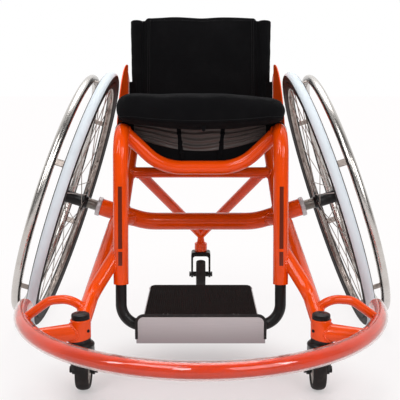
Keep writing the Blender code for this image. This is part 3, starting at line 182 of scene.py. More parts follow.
def bumper_point(turn):
    """The bumper bar's axis, this many degrees round from its left end."""
    return BUMPER_CENTRE + Vector((BUMPER_R * cos(radians(turn)), -BUMPER_R * sin(radians(turn)), 0))


def bumper_way(turn):
    """The way the bumper bar runs there."""
    return Vector((-sin(radians(turn)), -cos(radians(turn)), 0))


# Where the tubes' axes meet

UPRIGHT_HEAD, UPRIGHT_FOOT = rail_point(0.085), axle_point(0.182)
CROSS = UPRIGHT_FOOT.lerp(UPRIGHT_HEAD, (0.3465 - UPRIGHT_FOOT.z) / (UPRIGHT_HEAD.z - UPRIGHT_FOOT.z))
SEAT_TUBE_TOP, SEAT_TUBE_KNEE = rail_point(-0.210), at(0.080, -0.210, 0.390)
LOWER_REAR = axle_point(0.152)
BRACE_TOP, BRACE_END = at(RAIL_X, -0.262, 0.239), lower_point(-0.335)
STAY_TOP = Vector((0.146, CROSS.y, CROSS.z))
STAY_END = Vector((0, REAR_CASTER_AXIS.y - 0.004, 0.156))
ARCH_FOOT, ARCH_TIP = lower_point(-0.385), bumper_point(ARCH_TURN)
ARCH_KNEES = [CASTER_AXIS + Vector(step) for step in ((0.0225, 0.046, 0.047), (0.0655, 0.052, 0.042))]
ARM_ROOT, ARM_TIP = Vector((CASTER_AXIS.x, CASTER_AXIS.y, 0.1185)), bumper_point(ARM_TURN)

# What a user would change


def count_prop(name, description, default, low, high):
    return IntProperty(name=name, description=description, default=default, min=low, max=high)


def length_prop(name, description, default):
    return FloatProperty(name=name, description=description, default=default, unit="LENGTH")


def colour_prop(name, description, slot):
    default = COLOUR_OF[slot]
    return FloatVectorProperty(name=name, description=description, subtype="COLOR", default=default)


class ChairSizes(bpy.types.PropertyGroup):
    """The sizes of what is modelled on the chair's frame."""

    tube_facets: count_prop("Tube facets", "Faces round each frame tube", 36, 12, 64)
    wheel_steps: count_prop("Wheel steps", "Faces round each drive wheel", 240, 48, 360)
    bead: length_prop("Weld bead", "Half width of a weld bead", 0.0026)
    ripple: length_prop("Weld ripple", "Length of a ripple along a bead", 0.0034)
    spokes: count_prop("Spokes", "Spokes in each drive wheel", 28, 16, 36)
    puff: length_prop("Cushion puff", "How far the seat cushion may swell", 0.0055)


class ChairColours(bpy.types.PropertyGroup):
    """The colours of the chair's finishes."""

    paint: colour_prop("Frame", "Powder coat of the frame", "frame_paint")
    tyre: colour_prop("Tyres", "Rubber of the drive tyres", "tyre")
    fabric: colour_prop("Padding", "Cover of the cushion and back", "fabric")
    webbing: colour_prop("Straps", "Straps under the seat", "webbing")


def sizes():
    return bpy.context.scene.chair_sizes


def colours():
    return bpy.context.scene.chair_colours


# Wiring finishes


def feed(socket, value):
    """Links a value to a socket, or sets the socket to a plain number or colour."""
    if isinstance(value, Value):
        value.tree.links.new(value.socket, socket)
    else:
        socket.default_value = value


class Value:
    """A shader socket to write sums with: each sum adds its Math node."""

    def __init__(self, tree, socket):
        self.tree = tree
        self.socket = socket

    def sum(self, operation, *terms):
        step = self.tree.nodes.new("ShaderNodeMath")
        step.operation = operation
        for slot, term in zip(step.inputs, terms):
            feed(slot, term)
        return Value(self.tree, step.outputs[0])

    def __add__(self, other):
        return self.sum("ADD", self, other)

    def __sub__(self, other):
        return self.sum("SUBTRACT", self, other)

    def __rsub__(self, other):
        return self.sum("SUBTRACT", other, self)

    def __mul__(self, other):
        return self.sum("MULTIPLY", self, other)

    __radd__, __rmul__ = __add__, __mul__

    def sine(self):
        return self.sum("SINE", self)

    def size(self):
        return self.sum("ABSOLUTE", self)

    def most(self, other):
        return self.sum("MAXIMUM", self, other)


class Wiring:
    """A node tree while it is wired."""

    def __init__(self, tree):
        self.tree = tree

    def node(self, kind, settings=None, inputs=None, output=0):
        """Any node: its type, its settings, then the values or links of its sockets."""
        made = self.tree.nodes.new(kind)
        for name, value in (settings or {}).items():
            setattr(made, name, value)
        for socket, value in (inputs or {}).items():
            feed(made.inputs[socket], value)
        return Value(self.tree, made.outputs[output]) if made.outputs else made

    def blend(self, share, first, second):
        """The first colour going over into the second by the share."""
        first, second = ((*end, 1) if isinstance(end, tuple) else end for end in (first, second))
        return self.node("ShaderNodeMix", {"data_type": "RGBA"}, {0: share, 6: first, 7: second}, 2)

    def band(self, value, low, high, to_low=0.0, to_high=1.0):
        """The value carried from one range to another, held at both ends."""
        inputs = {"Value": value, "From Min": low, "From Max": high}
        inputs |= {"To Min": to_low, "To Max": to_high}
        return self.node("ShaderNodeMapRange", {"interpolation_type": "SMOOTHSTEP"}, inputs)

    def part(self, vector, axis):
        """One coordinate of a vector."""
        return self.node("ShaderNodeSeparateXYZ", inputs={"Vector": vector}, output=axis)

    def rays(self):
        """Whether a ray comes from the camera, from a glossy surface, or through a clear one."""
        kinds = ("Is Camera Ray", "Is Glossy Ray", "Is Transmission Ray")
        return [self.node("ShaderNodeLightPath", output=kind) for kind in kinds]


class Finish(Wiring):
    """A material while it is wired, with its Principled shader."""

    def __init__(self, name, **constants):
        self.material = bpy.data.materials.new(name)
        self.material.use_nodes = True
        super().__init__(self.material.node_tree)
        self.shader = self.tree.nodes["Principled BSDF"]
        self.wire(**constants)

    def wire(self, **inputs):
        """Feeds the Principled shader's own sockets."""
        for socket, value in inputs.items():
            feed(self.shader.inputs[socket.replace("_", " ")], value)
        return self

    def cover(self, share, first, second, rough):
        """A colour between two, and the roughness with it."""
        return self.wire(Base_Color=self.blend(share, first, second), Roughness=rough)

    def place(self, stretch=(1, 1, 1), spot=(0, 0, 0)):
        """Object coordinates, stretched and moved."""
        own = self.node("ShaderNodeTexCoord", output="Object")
        inputs = {"Vector": own, "Scale": stretch, "Location": spot}
        return self.node("ShaderNodeMapping", inputs=inputs)

    def along(self, axis):
        """One coordinate of a point of the piece, in metres."""
        return self.part(self.place(), axis)

    def noise(self, scale, detail, rough=0.5, stretch=(1, 1, 1)):
        inputs = {"Vector": self.place(stretch), "Scale": scale, "Detail": detail, "Roughness": rough}
        return self.node("ShaderNodeTexNoise", inputs=inputs)

    def relief(self, height, depth, strength):
        """Feeds a height into the surface's own normal."""
        inputs = {"Height": height, "Distance": depth, "Strength": strength}
        return self.wire(Normal=self.node("ShaderNodeBump", inputs=inputs))


def darker(colour, share):
    return tuple(part * share for part in colour[:3])


def powder_coat(name="powder_coat", gloss=0.30, rough=0.15):
    """Orange powder coat: a fine orange peel under a clear gloss, duller where dust gets to it."""
    finish = Finish(name, Coat_Weight=gloss, Coat_Roughness=0.05, Specular_IOR_Level=0.05 + gloss * 0.5)
    red, green, blue = colours().paint
    colour = (min(0.9, red * 1.04), green * 0.98, blue * 0.1)
    patches = finish.noise(9, 3)
    dust = finish.band(finish.along("Z") + patches * 0.06, 0.05, 0.24, 1, 0)
    tone = finish.blend(finish.band(patches, 0.35, 0.7), darker(colour, 0.86), colour)
    roughness = rough + finish.noise(60, 3) * 0.08 + dust * 0.06
    finish.cover(dust * 0.02, tone, (0.55, 0.42, 0.36), roughness)
    return finish.relief(finish.noise(420, 1), 0.0004, 0.10)


def guard_coat():
    """The same paint on the side guards, duller where clothes rub on it."""
    return powder_coat("guard_coat", 0.04, 0.34)


def leg_coat():
    """The same paint on the rails, with two plain dark bars down the front of each leg."""
    finish = powder_coat("leg_coat")
    tone = finish.shader.inputs["Base Color"].links[0].from_socket
    aside = (finish.along("X").size() - RAIL_X).size()
    height = finish.along("Z")
    ahead = finish.along("Y") - (leg_point(0).y + height * tan(LEG_LEAN))
    bar = finish.band(aside, 0.0038, 0.0042, 1, 0) * finish.band(ahead, -0.0062, -0.0054, 1, 0)
    long = finish.band((height - 0.3013).size(), 0.0606, 0.0610, 1, 0)
    short = finish.band((height - 0.2212).size(), 0.0136, 0.0140, 1, 0)
    mark = bar * long.most(short)
    dark = (0.030, 0.012, 0.010)
    return finish.wire(Base_Color=finish.blend(mark * 0.86, Value(finish.tree, tone), dark))


def black_anodising():
    """Satin black, a little worn to grey in fine specks."""
    finish = Finish("black_anodising", Coat_Weight=0.1, Coat_Roughness=0.2, Specular_IOR_Level=0.22)
    specks = finish.band(finish.noise(900, 2), 0.62, 0.78)
    worn = finish.band(finish.noise(30, 4), 0.55, 0.8) * 0.5 + specks * 0.2
    finish.cover(worn, (0.006, 0.005, 0.005), (0.024, 0.022, 0.021), 0.32 + finish.noise(80, 3) * 0.16)
    return finish.relief(specks, 0.0002, 0.25)


def satin_steel():
    """Turned steel, satin, with fine marks of the tool."""
    finish = Finish("satin_steel", Metallic=1.0)
    grain = finish.noise(260, 3, stretch=(1, 6, 6))
    finish.cover(grain, (0.24, 0.22, 0.20), (0.42, 0.39, 0.36), 0.26 + grain * 0.18)
    return finish.relief(grain, 0.0002, 0.2)


def polished_chrome():
    """Polished steel with faint wipe marks."""
    finish = Finish("polished_chrome", Metallic=1.0)
    wipes = finish.noise(14, 4, 0.6, (1, 1, 3))
    rough = 0.25 + finish.band(wipes, 0.45, 0.8) * 0.06
    return finish.cover(wipes, (0.46, 0.43, 0.40), (0.70, 0.675, 0.65), rough)


def rim_alloy():
    """Polished alloy, smoke grey, with brake dust in its hollows."""
    finish = Finish("rim_alloy", Metallic=1.0)
    dust = finish.noise(40, 4, 0.65)
    hollows = finish.band(dust, 0.35, 0.75)
    finish.cover(hollows, (0.38, 0.33, 0.30), (0.17, 0.14, 0.125), 0.28 + dust * 0.14)
    return finish.relief(dust, 0.0002, 0.15)


def brushed_aluminium():
    """Silver sheet, brushed from side to side, with painted shade darkening it towards its foot."""
    finish = Finish("brushed_aluminium", Metallic=0.85)
    brush = finish.noise(120, 4, 0.65, (0.12, 6, 6))
    tone = finish.blend(brush * 0.7 + finish.noise(8, 2) * 0.3, (0.44, 0.405, 0.41), (0.68, 0.64, 0.65))
    # painted shade: the sheet goes darker towards its foot, where less light falls
    painted_shade = finish.band(finish.along("Z"), 0.05, 0.105)
    finish.cover(painted_shade, darker((0.42, 0.37, 0.38), 0.9), tone, 0.36 + brush * 0.20)
    return finish.relief(brush, 0.0002, 0.25)


def tyre_rubber():
    """Pale tread rubber, faintly scuffed, with a fine grain."""
    finish = Finish("tyre_rubber", Specular_IOR_Level=0.3)
    colour = tuple(min(0.92, part * lift) for part, lift in zip(colours().tyre, (1.10, 1.12, 1.09)))
    scuff = finish.noise(24, 5, 0.6)
    scuffed = finish.band(scuff, 0.5, 0.85) * 0.5
    finish.cover(scuffed, colour, darker(colour, 0.82), 0.6 + scuff * 0.2)
    return finish.relief(finish.noise(700, 2), 0.0005, 0.35)


def dark_rubber():
    """Moulded dark rubber, greyed by wear."""
    finish = Finish("dark_rubber", Specular_IOR_Level=0.3)
    wear = finish.noise(60, 5, 0.65)
    greyed = finish.band(wear, 0.45, 0.8)
    finish.cover(greyed, (0.012, 0.009, 0.009), (0.040, 0.034, 0.032), 0.60 + wear * 0.25)
    return finish.relief(finish.noise(700, 2), 0.0004, 0.35)


def ribbed_mat():
    """Dark brown rubber matting with fine ribs from front to back."""
    finish = Finish("ribbed_mat", Specular_IOR_Level=0.08)
    ribs = (finish.along("X") * (tau / 0.0042)).sine()
    wear = finish.noise(26, 5, 0.65)
    worn = finish.band(wear, 0.42, 0.8)
    finish.cover(worn, (0.008, 0.004, 0.0036), (0.016, 0.0095, 0.009), 0.7 + wear * 0.25)
    return finish.relief(ribs + wear * 0.6, 0.0006, 0.7)


def clear_hose():
    """Clear flexible plastic with a wavy wall, tinted pink as painted reflection of the orange bar inside it,
    patchy at random.
    """
    clear = {"Transmission_Weight": 1.0, "IOR": 1.20, "Coat_Weight": 0.5, "Coat_Roughness": 0.05}
    finish = Finish("clear_hose", **clear)
    cloud = finish.noise(22, 3)
    rough = 0.03 + finish.band(cloud, 0.4, 0.8) * 0.08
    # both pinks are painted reflection of the orange bar inside; the cloud only mixes them at random
    finish.cover(cloud, (0.87, 0.70, 0.68), (0.78, 0.60, 0.58), rough)
    return finish.relief(finish.noise(16, 2), 0.0012, 0.25)


def woven_nylon():
    """Black woven nylon: crossed threads and slightly paler rubbed places."""
    finish = Finish("woven_nylon", Sheen_Weight=0.015, Sheen_Roughness=0.4, Specular_IOR_Level=0.07)
    cloth = [(finish.along(axis) * (tau / 0.0013)).sine() for axis in "XYZ"]
    weave = cloth[0] * cloth[2] + cloth[0] * cloth[1]
    rub = finish.noise(16, 4, 0.6)
    colour = darker(tuple(colours().fabric), 0.35)
    lifted = tuple(part + 0.0035 for part in colour)
    rubbed = finish.band(rub, 0.4, 0.75) * 0.7 + weave * 0.1
    finish.cover(rubbed, colour, lifted, 0.78 + rub * 0.2)
    return finish.relief(weave + rub * 2.0, 0.0006, 0.5)


def satin_straps():
    """Grey-brown satin strap, shiny along its ribs."""
    finish = Finish("satin_straps", Sheen_Weight=0.2, Sheen_Roughness=0.3, Specular_IOR_Level=0.6)
    ribs = (finish.along("X") * (tau / 0.0016)).sine()
    cloud = finish.noise(34, 4, 0.6, (0.4, 1, 1))
    red, green, blue = colours().webbing
    colour = (red, green * 0.86, blue * 0.80)
    finish.cover(cloud, darker(colour, 0.4), darker(colour, 1.5), 0.34 + cloud * 0.2)
    return finish.relief(ribs * 0.5 + cloud, 0.0008, 0.5)


def stitch_thread():
    """Waxed thread, dark grey."""
    finish = Finish("stitch_thread", Specular_IOR_Level=0.3)
    twist = finish.noise(1500, 1)
    return finish.cover(twist, (0.006, 0.005, 0.005), (0.020, 0.018, 0.018), 0.5 + twist * 0.1)


MAKERS = {
    "frame_paint": powder_coat,
    "guard": guard_coat,
    "leg": leg_coat,
    "black_metal": black_anodising,
    "satin_metal": satin_steel,
    "chrome": polished_chrome,
    "rim": rim_alloy,
    "silver": brushed_aluminium,
    "tyre": tyre_rubber,
    "rubber": dark_rubber,
    "mat": ribbed_mat,
    "hose": clear_hose,
    "fabric": woven_nylon,
    "webbing": satin_straps,
    "thread": stitch_thread,
}
MADE = {}


def finish_of(name):
    """The material of that finish, wired the first time it is asked for."""
    if name not in MADE:
        MADE[name] = MAKERS[name]().material
    return MADE[name]


# Modelling


def deselect():
    if bpy.context.object and bpy.context.object.mode != "OBJECT":
        bpy.ops.object.mode_set(mode="OBJECT")
    bpy.ops.object.select_all(action="DESELECT")


def pick(*chosen):
    """Selects just these objects, the first of them active."""
    deselect()
    for piece in chosen:
        piece.select_set(True)
    bpy.context.view_layer.objects.active = chosen[0]
    return chosen[0]


def opened(piece):
    """A piece in edit mode, all of it selected."""
    pick(piece)
    bpy.ops.object.mode_set(mode="EDIT")
    bpy.ops.mesh.select_all(action="SELECT")
    return piece


def named(name):
    """Names the primitive that was just added, and opens it."""
    piece = bpy.context.object
    piece.name = name
    bpy.ops.object.transform_apply(location=True, rotation=True, scale=True)
    return opened(piece)


def outline(name, points, fill="NGON"):
    """A loop of edges through the points, filled or open, from a circle with as many points."""
    deselect()
    bpy.ops.mesh.primitive_circle_add(vertices=len(points), radius=0.05, fill_type=fill)
    piece = named(name)
    mesh = bmesh.from_edit_mesh(piece.data)
    mesh.verts.ensure_lookup_table()
    for vert, point in zip(mesh.verts, points):
        vert.co = point
    bmesh.update_edit_mesh(piece.data)
    return piece


def disc(name, spot, way, radius, facets):
    """A disc that faces along the way, open in edit mode."""
    deselect()
    turn = way.to_track_quat("Z", "Y").to_euler()
    circle = {"vertices": facets, "radius": radius, "fill_type": "NGON"}
    bpy.ops.mesh.primitive_circle_add(location=spot, rotation=turn, **circle)
    return named(name)


def extrude(way):
    bpy.ops.mesh.extrude_region_move(TRANSFORM_OT_translate={"value": tuple(way)})


def shaded(piece, angle):
    """Smooth faces, with the edges past the angle left sharp."""
    pick(piece)
    bpy.ops.object.shade_smooth_by_angle(angle=radians(angle))
    return piece


def shape_up(piece, smooth=35, place=None):
    """Closes edit mode: doubles merged, faces outward, edges sharp past an angle, its place taken."""
    bpy.ops.mesh.select_all(action="SELECT")
    bpy.ops.mesh.remove_doubles(threshold=1e-6)
    bpy.ops.mesh.delete_loose(use_verts=True, use_edges=True, use_faces=False)
    bpy.ops.mesh.select_all(action="SELECT")
    bpy.ops.mesh.normals_make_consistent(inside=False)
    bpy.ops.object.mode_set(mode="OBJECT")
    shaded(piece, smooth)
    return put(piece, place) if place else piece


def put(piece, place):
    """Moves a finished piece by the matrix, and keeps its object at the origin."""
    piece.matrix_world = place
    pick(piece)
    bpy.ops.object.transform_apply(location=True, rotation=True, scale=True)
    return piece


def apply(piece, kind, **settings):
    """Adds a modifier to a piece and applies it."""
    pick(piece)
    step = piece.modifiers.new("step", kind)
    for name, value in settings.items():
        setattr(step, name, value)
    bpy.ops.object.modifier_apply(modifier=step.name)
    return piece


def rounded_edges(piece, width, segments=2, angle=40):
    limit = {"limit_method": "ANGLE", "angle_limit": radians(angle)}
    return shaded(apply(piece, "BEVEL", width=width, segments=segments, **limit), 35)


def tube(name, path, radius, bend=0.03, facets=None, bore=None):
    """A bar with round bends: a disc extruded along each run and spun round each corner.
    With bore, its last end is hollow: (wall, depth)."""
    way = (path[1] - path[0]).normalized()
    spot = path[0].copy()
    piece = disc(name, spot, way, radius, facets or sizes().tube_facets)
    for corner, after in zip(path[1:-1], path[2:]):
        ahead = (after - corner).normalized()
        turn = way.angle(ahead)
        back = bend * tan(turn / 2)
        extrude(corner - way * back - spot)
        inward = (ahead - way * ahead.dot(way)).normalized()
        bpy.ops.mesh.spin(
            steps=max(4, round(turn / radians(5))),
            angle=-turn,
            center=corner - way * back + inward * bend,
            axis=way.cross(ahead).normalized(),
        )
        spot = corner + ahead * back
        way = ahead
    extrude(path[-1] - spot)
    if bore:
        wall, depth = bore
        bpy.ops.mesh.inset(thickness=wall)
        extrude(-way * depth)
    return shape_up(piece, 50)


def cross_tube(name, half, radius, bend=0.03, facets=None):
    """A tube right across the chair, from the left half of its path."""
    return tube(name, half + [flipped(point) for point in reversed(half)], radius, bend, facets)


def lathe(name, profile, place=None, steps=48, smooth=35, angle=tau):
    """An outline of (radius, height) points spun round its own Z, then put in its place."""
    fill = "NOTHING" if angle == tau else "NGON"
    piece = outline(name, [(r, 0, h) for r, h in profile], fill)
    bpy.ops.mesh.spin(steps=steps, angle=angle, center=(0, 0, 0), axis=(0, 0, 1))
    return shape_up(piece, smooth, place)


def screw(name, place, wide, shoulder, top, tall, socket, floor):
    """A screw's head with a round socket, its sizes in millimetres."""
    head = mm((0, 0), (wide, 0), (wide, shoulder), (top, tall))
    head += mm((socket, tall), (socket, floor), (0, floor))
    return lathe(name, head, place, 24)


def plate(name, points, depth, edge=0.0, segments=2, place=None):
    """A flat outline given its depth, with rounded edges."""
    piece = outline(name, points)
    extrude(depth)
    shape_up(piece, 30)
    if edge:
        rounded_edges(piece, edge, segments)
    return put(piece, place) if place else piece


def slab(name, points, y, depth, edge=0.0, segments=2, place=None):
    """A plate that faces forward: (x, z) points at y, given their depth backwards."""
    return plate(name, [(x, y, z) for x, z in points], (0, depth, 0), edge, segments, place)


def copied(piece, name, place=None):
    """A copy with its own mesh, moved by the matrix."""
    pick(piece)
    bpy.ops.object.duplicate(linked=False)
    twin = bpy.context.object
    twin.name = name
    return put(twin, place) if place else twin


def repeated(piece, places):
    """Copies of a piece at all the places, and the piece itself gone."""
    made = [copied(piece, piece.name, place) for place in places]
    bpy.data.objects.remove(piece, do_unlink=True)
    return made


def mirrored(piece, name):
    """A copy for the chair's other side, its faces turned outward again."""
    return shape_up(opened(copied(piece, name, Matrix.Scale(-1, 4, (1, 0, 0)))))


def joined(name, pieces):
    """Several shells made one piece."""
    one = pick(*pieces)
    if len(pieces) > 1:
        bpy.ops.object.join()
    one.name = name
    return one


def notched(piece, cutter):
    """Takes the cutter's shape out of the piece."""
    apply(piece, "BOOLEAN", operation="DIFFERENCE", solver="EXACT", object=cutter)
    bpy.data.objects.remove(cutter, do_unlink=True)
    return piece


def coated(piece, *finishes):
    """Gives a piece its finishes before it is joined or dressed."""
    for name in finishes:
        piece.data.materials.append(finish_of(name))
    return piece


def two_tone(piece, place, first, second, picked):
    """Two finishes, the second on the faces picked by their middle, seen in the piece's own place."""
    coated(piece, first, second)
    back = place.inverted()
    for face in piece.data.polygons:
        face.material_index = int(picked(back @ face.center))
    return piece


def dress(piece, slot, body, *nodes, finish=None):
    """Gives a piece its finish and body, and hides the nodes it stands for."""
    if not piece.data.materials:
        coated(piece, finish or slot)
    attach(piece, body)
    if nodes:
        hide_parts(*nodes)
    return piece


def both_sides(piece, kind="", slot="frame_paint", body="frame", finish=None):
    """Dresses the left piece and its mirror image, each in its node's place where they have a kind."""
    twin = f"right_{kind}_shown" if kind else piece.name.replace("left", "right")
    for side, made in zip(("left", "right"), (piece, mirrored(piece, twin))):
        nodes = [f"{side}_{kind}"] if kind else []
        dress(made, slot, body.format(side), *nodes, finish=finish)


def weld(start, end, radius, main):
    """A rippled bead where a branch tube, from its start to its end, meets a main one:
    (a point of its axis, its way, its radius)."""
    sides, per_ripple, flatness = 8, 8, 0.75
    onto, main_way, main_radius = main
    way, main_way = (end - start).normalized(), main_way.normalized()
    aside = way.orthogonal().normalized()
    upward = way.cross(aside)
    count = per_ripple * round(tau * radius / sizes().ripple)
    bead = sizes().bead
    deselect()
    round_it = {"major_segments": count, "minor_segments": sides}
    bpy.ops.mesh.primitive_torus_add(major_radius=radius, minor_radius=bead, **round_it)
    piece = named("bead")
    path, lean = [], []
    for i in range(count):
        turn = tau * i / count
        side = aside * cos(turn) + upward * sin(turn)
        spot = start + side * radius - onto
        flat_way = way - main_way * way.dot(main_way)
        flat_spot = spot - main_way * spot.dot(main_way)
        a = flat_way.length_squared
        b = 2 * flat_way.dot(flat_spot)
        c = flat_spot.length_squared - main_radius**2
        reach = (-b - sqrt(max(0.0, b * b - 4 * a * c))) / (2 * a)
        path.append(start + side * radius + way * reach)
        lean.append((side + (flat_spot + flat_way * reach).normalized()).normalized())
    mesh = bmesh.from_edit_mesh(piece.data)
    mesh.verts.ensure_lookup_table()
    for i in range(count):
        run = (path[(i + 1) % count] - path[i - 1]).normalized()
        out = (lean[i] - run * lean[i].dot(run)).normalized()
        flank = run.cross(out)
        swell = 1 + 0.16 * sin(tau * i / per_ripple) + 0.12 * noise.noise(path[i] * 220)
        for j in range(sides):
            turn = tau * j / sides
            offset = flank * cos(turn) + out * (flatness * sin(turn))
            mesh.verts[i * sides + j].co = path[i] + offset * bead * swell
    bmesh.update_edit_mesh(piece.data)
    return shape_up(piece, 80)


def routed(name, points, closed=False):
    """A curve through the points."""
    route = bpy.data.curves.new(name, "CURVE")
    route.dimensions = "3D"
    run = route.splines.new("POLY")
    run.points.add(len(points) - 1)
    run.use_cyclic_u = closed
    for knot, point in zip(run.points, points):
        knot.co = (*point, 1)
    piece = bpy.data.objects.new(name, route)
    bpy.context.collection.objects.link(piece)
    return piece


def strung(name, points, radius, closed=False):
    """A round cord through the points: a curve with thickness, made a mesh."""
    cord = routed(name, points, closed)
    cord.data.bevel_depth = radius
    cord.data.bevel_resolution = 2
    cord.data.use_fill_caps = True
    pick(cord)
    bpy.ops.object.convert(target="MESH")
    return shape_up(opened(bpy.context.object), 60)


def stitched(name, points, pitch=0.0045, thick=0.0007):
    """A row of stitches: one stitch, repeated along a seam."""
    seam = routed("seam", points)
    deselect()
    thread = {"vertices": 6, "radius": thick / 2, "depth": pitch * 0.7, "rotation": (0, pi / 2, 0)}
    bpy.ops.mesh.primitive_cylinder_add(**thread)
    piece = named(name)
    bpy.ops.mesh.bevel(offset=thick * 0.15, segments=1, affect="EDGES")
    shape_up(piece, 60)
    row = {"fit_type": "FIT_CURVE", "curve": seam, "constant_offset_displace": (pitch, 0, 0)}
    apply(piece, "ARRAY", use_relative_offset=False, use_constant_offset=True, **row)
    apply(piece, "CURVE", object=seam, deform_axis="POS_X")
    bpy.data.objects.remove(seam, do_unlink=True)
    return piece


def draped(name, columns, rows, shape, depth, place=None):
    """A sheet from a grid whose every point is put by shape(u, v), then given its thickness."""
    deselect()
    bpy.ops.mesh.primitive_grid_add(x_subdivisions=columns, y_subdivisions=rows, size=2)
    piece = named(name)
    mesh = bmesh.from_edit_mesh(piece.data)
    for vert in mesh.verts:
        vert.co = shape((vert.co.x + 1) / 2, (vert.co.y + 1) / 2)
    bmesh.update_edit_mesh(piece.data)
    extrude(depth)
    return shape_up(piece, 60, place)


def crumpled(piece, depth, size):
    """Small soft folds all over a piece of cloth."""
    for vert in piece.data.vertices:
        vert.co += vert.normal * depth * noise.noise(vert.co / size)
    return piece


def puffed(piece, cap, held=""):
    """Swells a padded piece by a cloth simulation under pressure, no point further than cap."""
    start = [vert.co.copy() for vert in piece.data.vertices]
    pick(piece)
    cloth = piece.modifiers.new("puff", "CLOTH")
    cloth.settings.use_pressure = True
    cloth.settings.uniform_pressure_force = 4.0
    cloth.settings.effector_weights.gravity = 0
    cloth.settings.vertex_group_mass = held
    for step in range(1, 21):
        bpy.context.scene.frame_set(step)
    bpy.ops.object.modifier_apply(modifier="puff")
    bpy.context.scene.frame_set(1)
    for vert, was in zip(piece.data.vertices, start):
        moved = vert.co - was
        if moved.length > cap:
            vert.co = was + moved * (cap / moved.length)
    return piece


def on_surface(piece, points, proud):
    """The points brought onto a piece's skin, standing proud of it."""
    found = []
    for point in points:
        _, spot, normal, _ = piece.closest_point_on_mesh(point)
        found.append(spot + normal * proud)
    return found


class FrameTubes(bpy.types.Operator):
    """Bends the frame's tubes and welds them together"""

    bl_idname = "wheelchair.frame_tubes"
    bl_label = "Frame tubes and welds"

    camber_end, camber_z = 0.0643, 0.237

    def execute(self, context):
        path = [rail_point(0.112), RAIL_CORNER, leg_point(LEG_END)]
        rail = tube("left_rail_shown", path, RAIL_R, 0.055, bore=(0.0032, 0.020))
        both_sides(rail, "rail", finish="leg")
        end = axle_point(HUB.x - self.camber_end * cos(CAMBER))
        corner = at(HUB.x - (HUB.z - self.camber_z) / tan(CAMBER), 0, self.camber_z)
        camber = cross_tube("camber_tube_shown", [end, corner], CAMBER_TUBE_R, 0.150)
        dress(camber, "frame_paint", "frame", "camber_tube")
        seat = cross_tube("seat_tube_shown", [SEAT_TUBE_TOP, SEAT_TUBE_KNEE], SEAT_TUBE_R, 0.100)
        dress(seat, "frame_paint", "frame", "front_seat_tube")
        both_sides(tube("left_upright_shown", [UPRIGHT_HEAD, UPRIGHT_FOOT], UPRIGHT_R), "upright")
        rear = cross_tube("cross_tube_shown", [CROSS], CROSS_TUBE_R)
        dress(rear, "frame_paint", "frame", "rear_cross_tube")
        hidden = LOWER_REAR + (LOWER_ELBOW - LOWER_REAR).normalized() * 0.012
        lower = tube("left_lower_tube_shown", [hidden, LOWER_ELBOW, LOWER_END], LOWER_TUBE_R, 0.045)
        both_sides(lower, "lower_tube")
        self.braces()
        self.stays()
        arch = tube("left_bumper_arch_shown", [ARCH_FOOT, *ARCH_KNEES, ARCH_TIP], ARCH_R, 0.042, 24)
        both_sides(arch, "bumper_arch")
        self.welds()
        return {"FINISHED"}

    def braces(self):
        """The leg braces, trimmed flush just behind the legs."""
        path = [BRACE_TOP, BRACE_END, lower_point(-0.375)]
        brace = opened(tube("left_leg_brace_shown", path, BRACE_R, 0.070))
        behind = Vector((0, -LEG_DOWN.z, LEG_DOWN.y))
        flush = leg_point(BRACE_TOP.z) + behind * (RAIL_R + 0.0035)
        bpy.ops.mesh.bisect(plane_co=flush, plane_no=behind, clear_outer=True, use_fill=True)
        both_sides(shape_up(brace, 50), "leg_brace")

    def stays(self):
        """The V of the stays, and the neck on the rear bearing ring."""
        made = []
        for side in SIDES:
            path = [flipped(STAY_TOP, side), STAY_END + Vector((side * 0.002, 0, 0))]
            made.append(tube("stay", path, STAY_R))
        neck = mm((0, 129), (13.5, 129), (10, 134), (8.6, 142), (8.6, 166), (7, 168), (0, 168))
        made.append(lathe("neck", neck, shift(0, REAR_CASTER_AXIS.y)))
        dress(joined("rear_stays_shown", made), "frame_paint", "frame", "rear_stays")

    def welds(self):
        """The beads at every joint, as one piece a side."""
        sideways = Vector((1, 0, 0))
        middle = Vector((0, CROSS.y, CROSS.z))
        knee, last = ARCH_KNEES
        rail = (RAIL_CORNER, rail_point(0) - RAIL_CORNER, RAIL_R)
        leg = (RAIL_CORNER, LEG_DOWN, RAIL_R)
        upright = (UPRIGHT_FOOT, UPRIGHT_HEAD - UPRIGHT_FOOT, UPRIGHT_R)
        rear = (CROSS, sideways, CROSS_TUBE_R)
        camber = (axle_point(0.20), axle_point(0.21) - axle_point(0.20), CAMBER_TUBE_R)
        lower = (LOWER_ELBOW, LOWER_END - LOWER_ELBOW, LOWER_TUBE_R)
        barrel = (CASTER_AXIS, Vector((0, 0, 1)), BARREL_R)
        bar_at_arch = (ARCH_TIP, bumper_way(ARCH_TURN), BUMPER_BAR_R)
        bar_at_arm = (ARM_TIP, bumper_way(ARM_TURN), BUMPER_BAR_R)
        made = [
            weld(SEAT_TUBE_KNEE, SEAT_TUBE_TOP, SEAT_TUBE_R, rail),
            weld(UPRIGHT_FOOT, UPRIGHT_HEAD, UPRIGHT_R, rail),
            weld(UPRIGHT_HEAD, UPRIGHT_FOOT, UPRIGHT_R, camber),
            weld(middle, middle + sideways, CROSS_TUBE_R, upright),
            weld(LOWER_ELBOW, LOWER_REAR, LOWER_TUBE_R, camber),
            weld(LOWER_ELBOW, LOWER_END, LOWER_TUBE_R, barrel),
            weld(BRACE_END, BRACE_TOP, BRACE_R, leg),
            weld(STAY_END, STAY_TOP, STAY_R, rear),
            weld(knee, ARCH_FOOT, ARCH_R, lower),
            weld(last, ARCH_TIP, ARCH_R, bar_at_arch),
            weld(ARM_ROOT, ARM_TIP, 0.0125, bar_at_arm),
            weld(ARM_TIP, ARM_ROOT, 0.0165, barrel),
        ]
        both_sides(joined("left_welds", made))


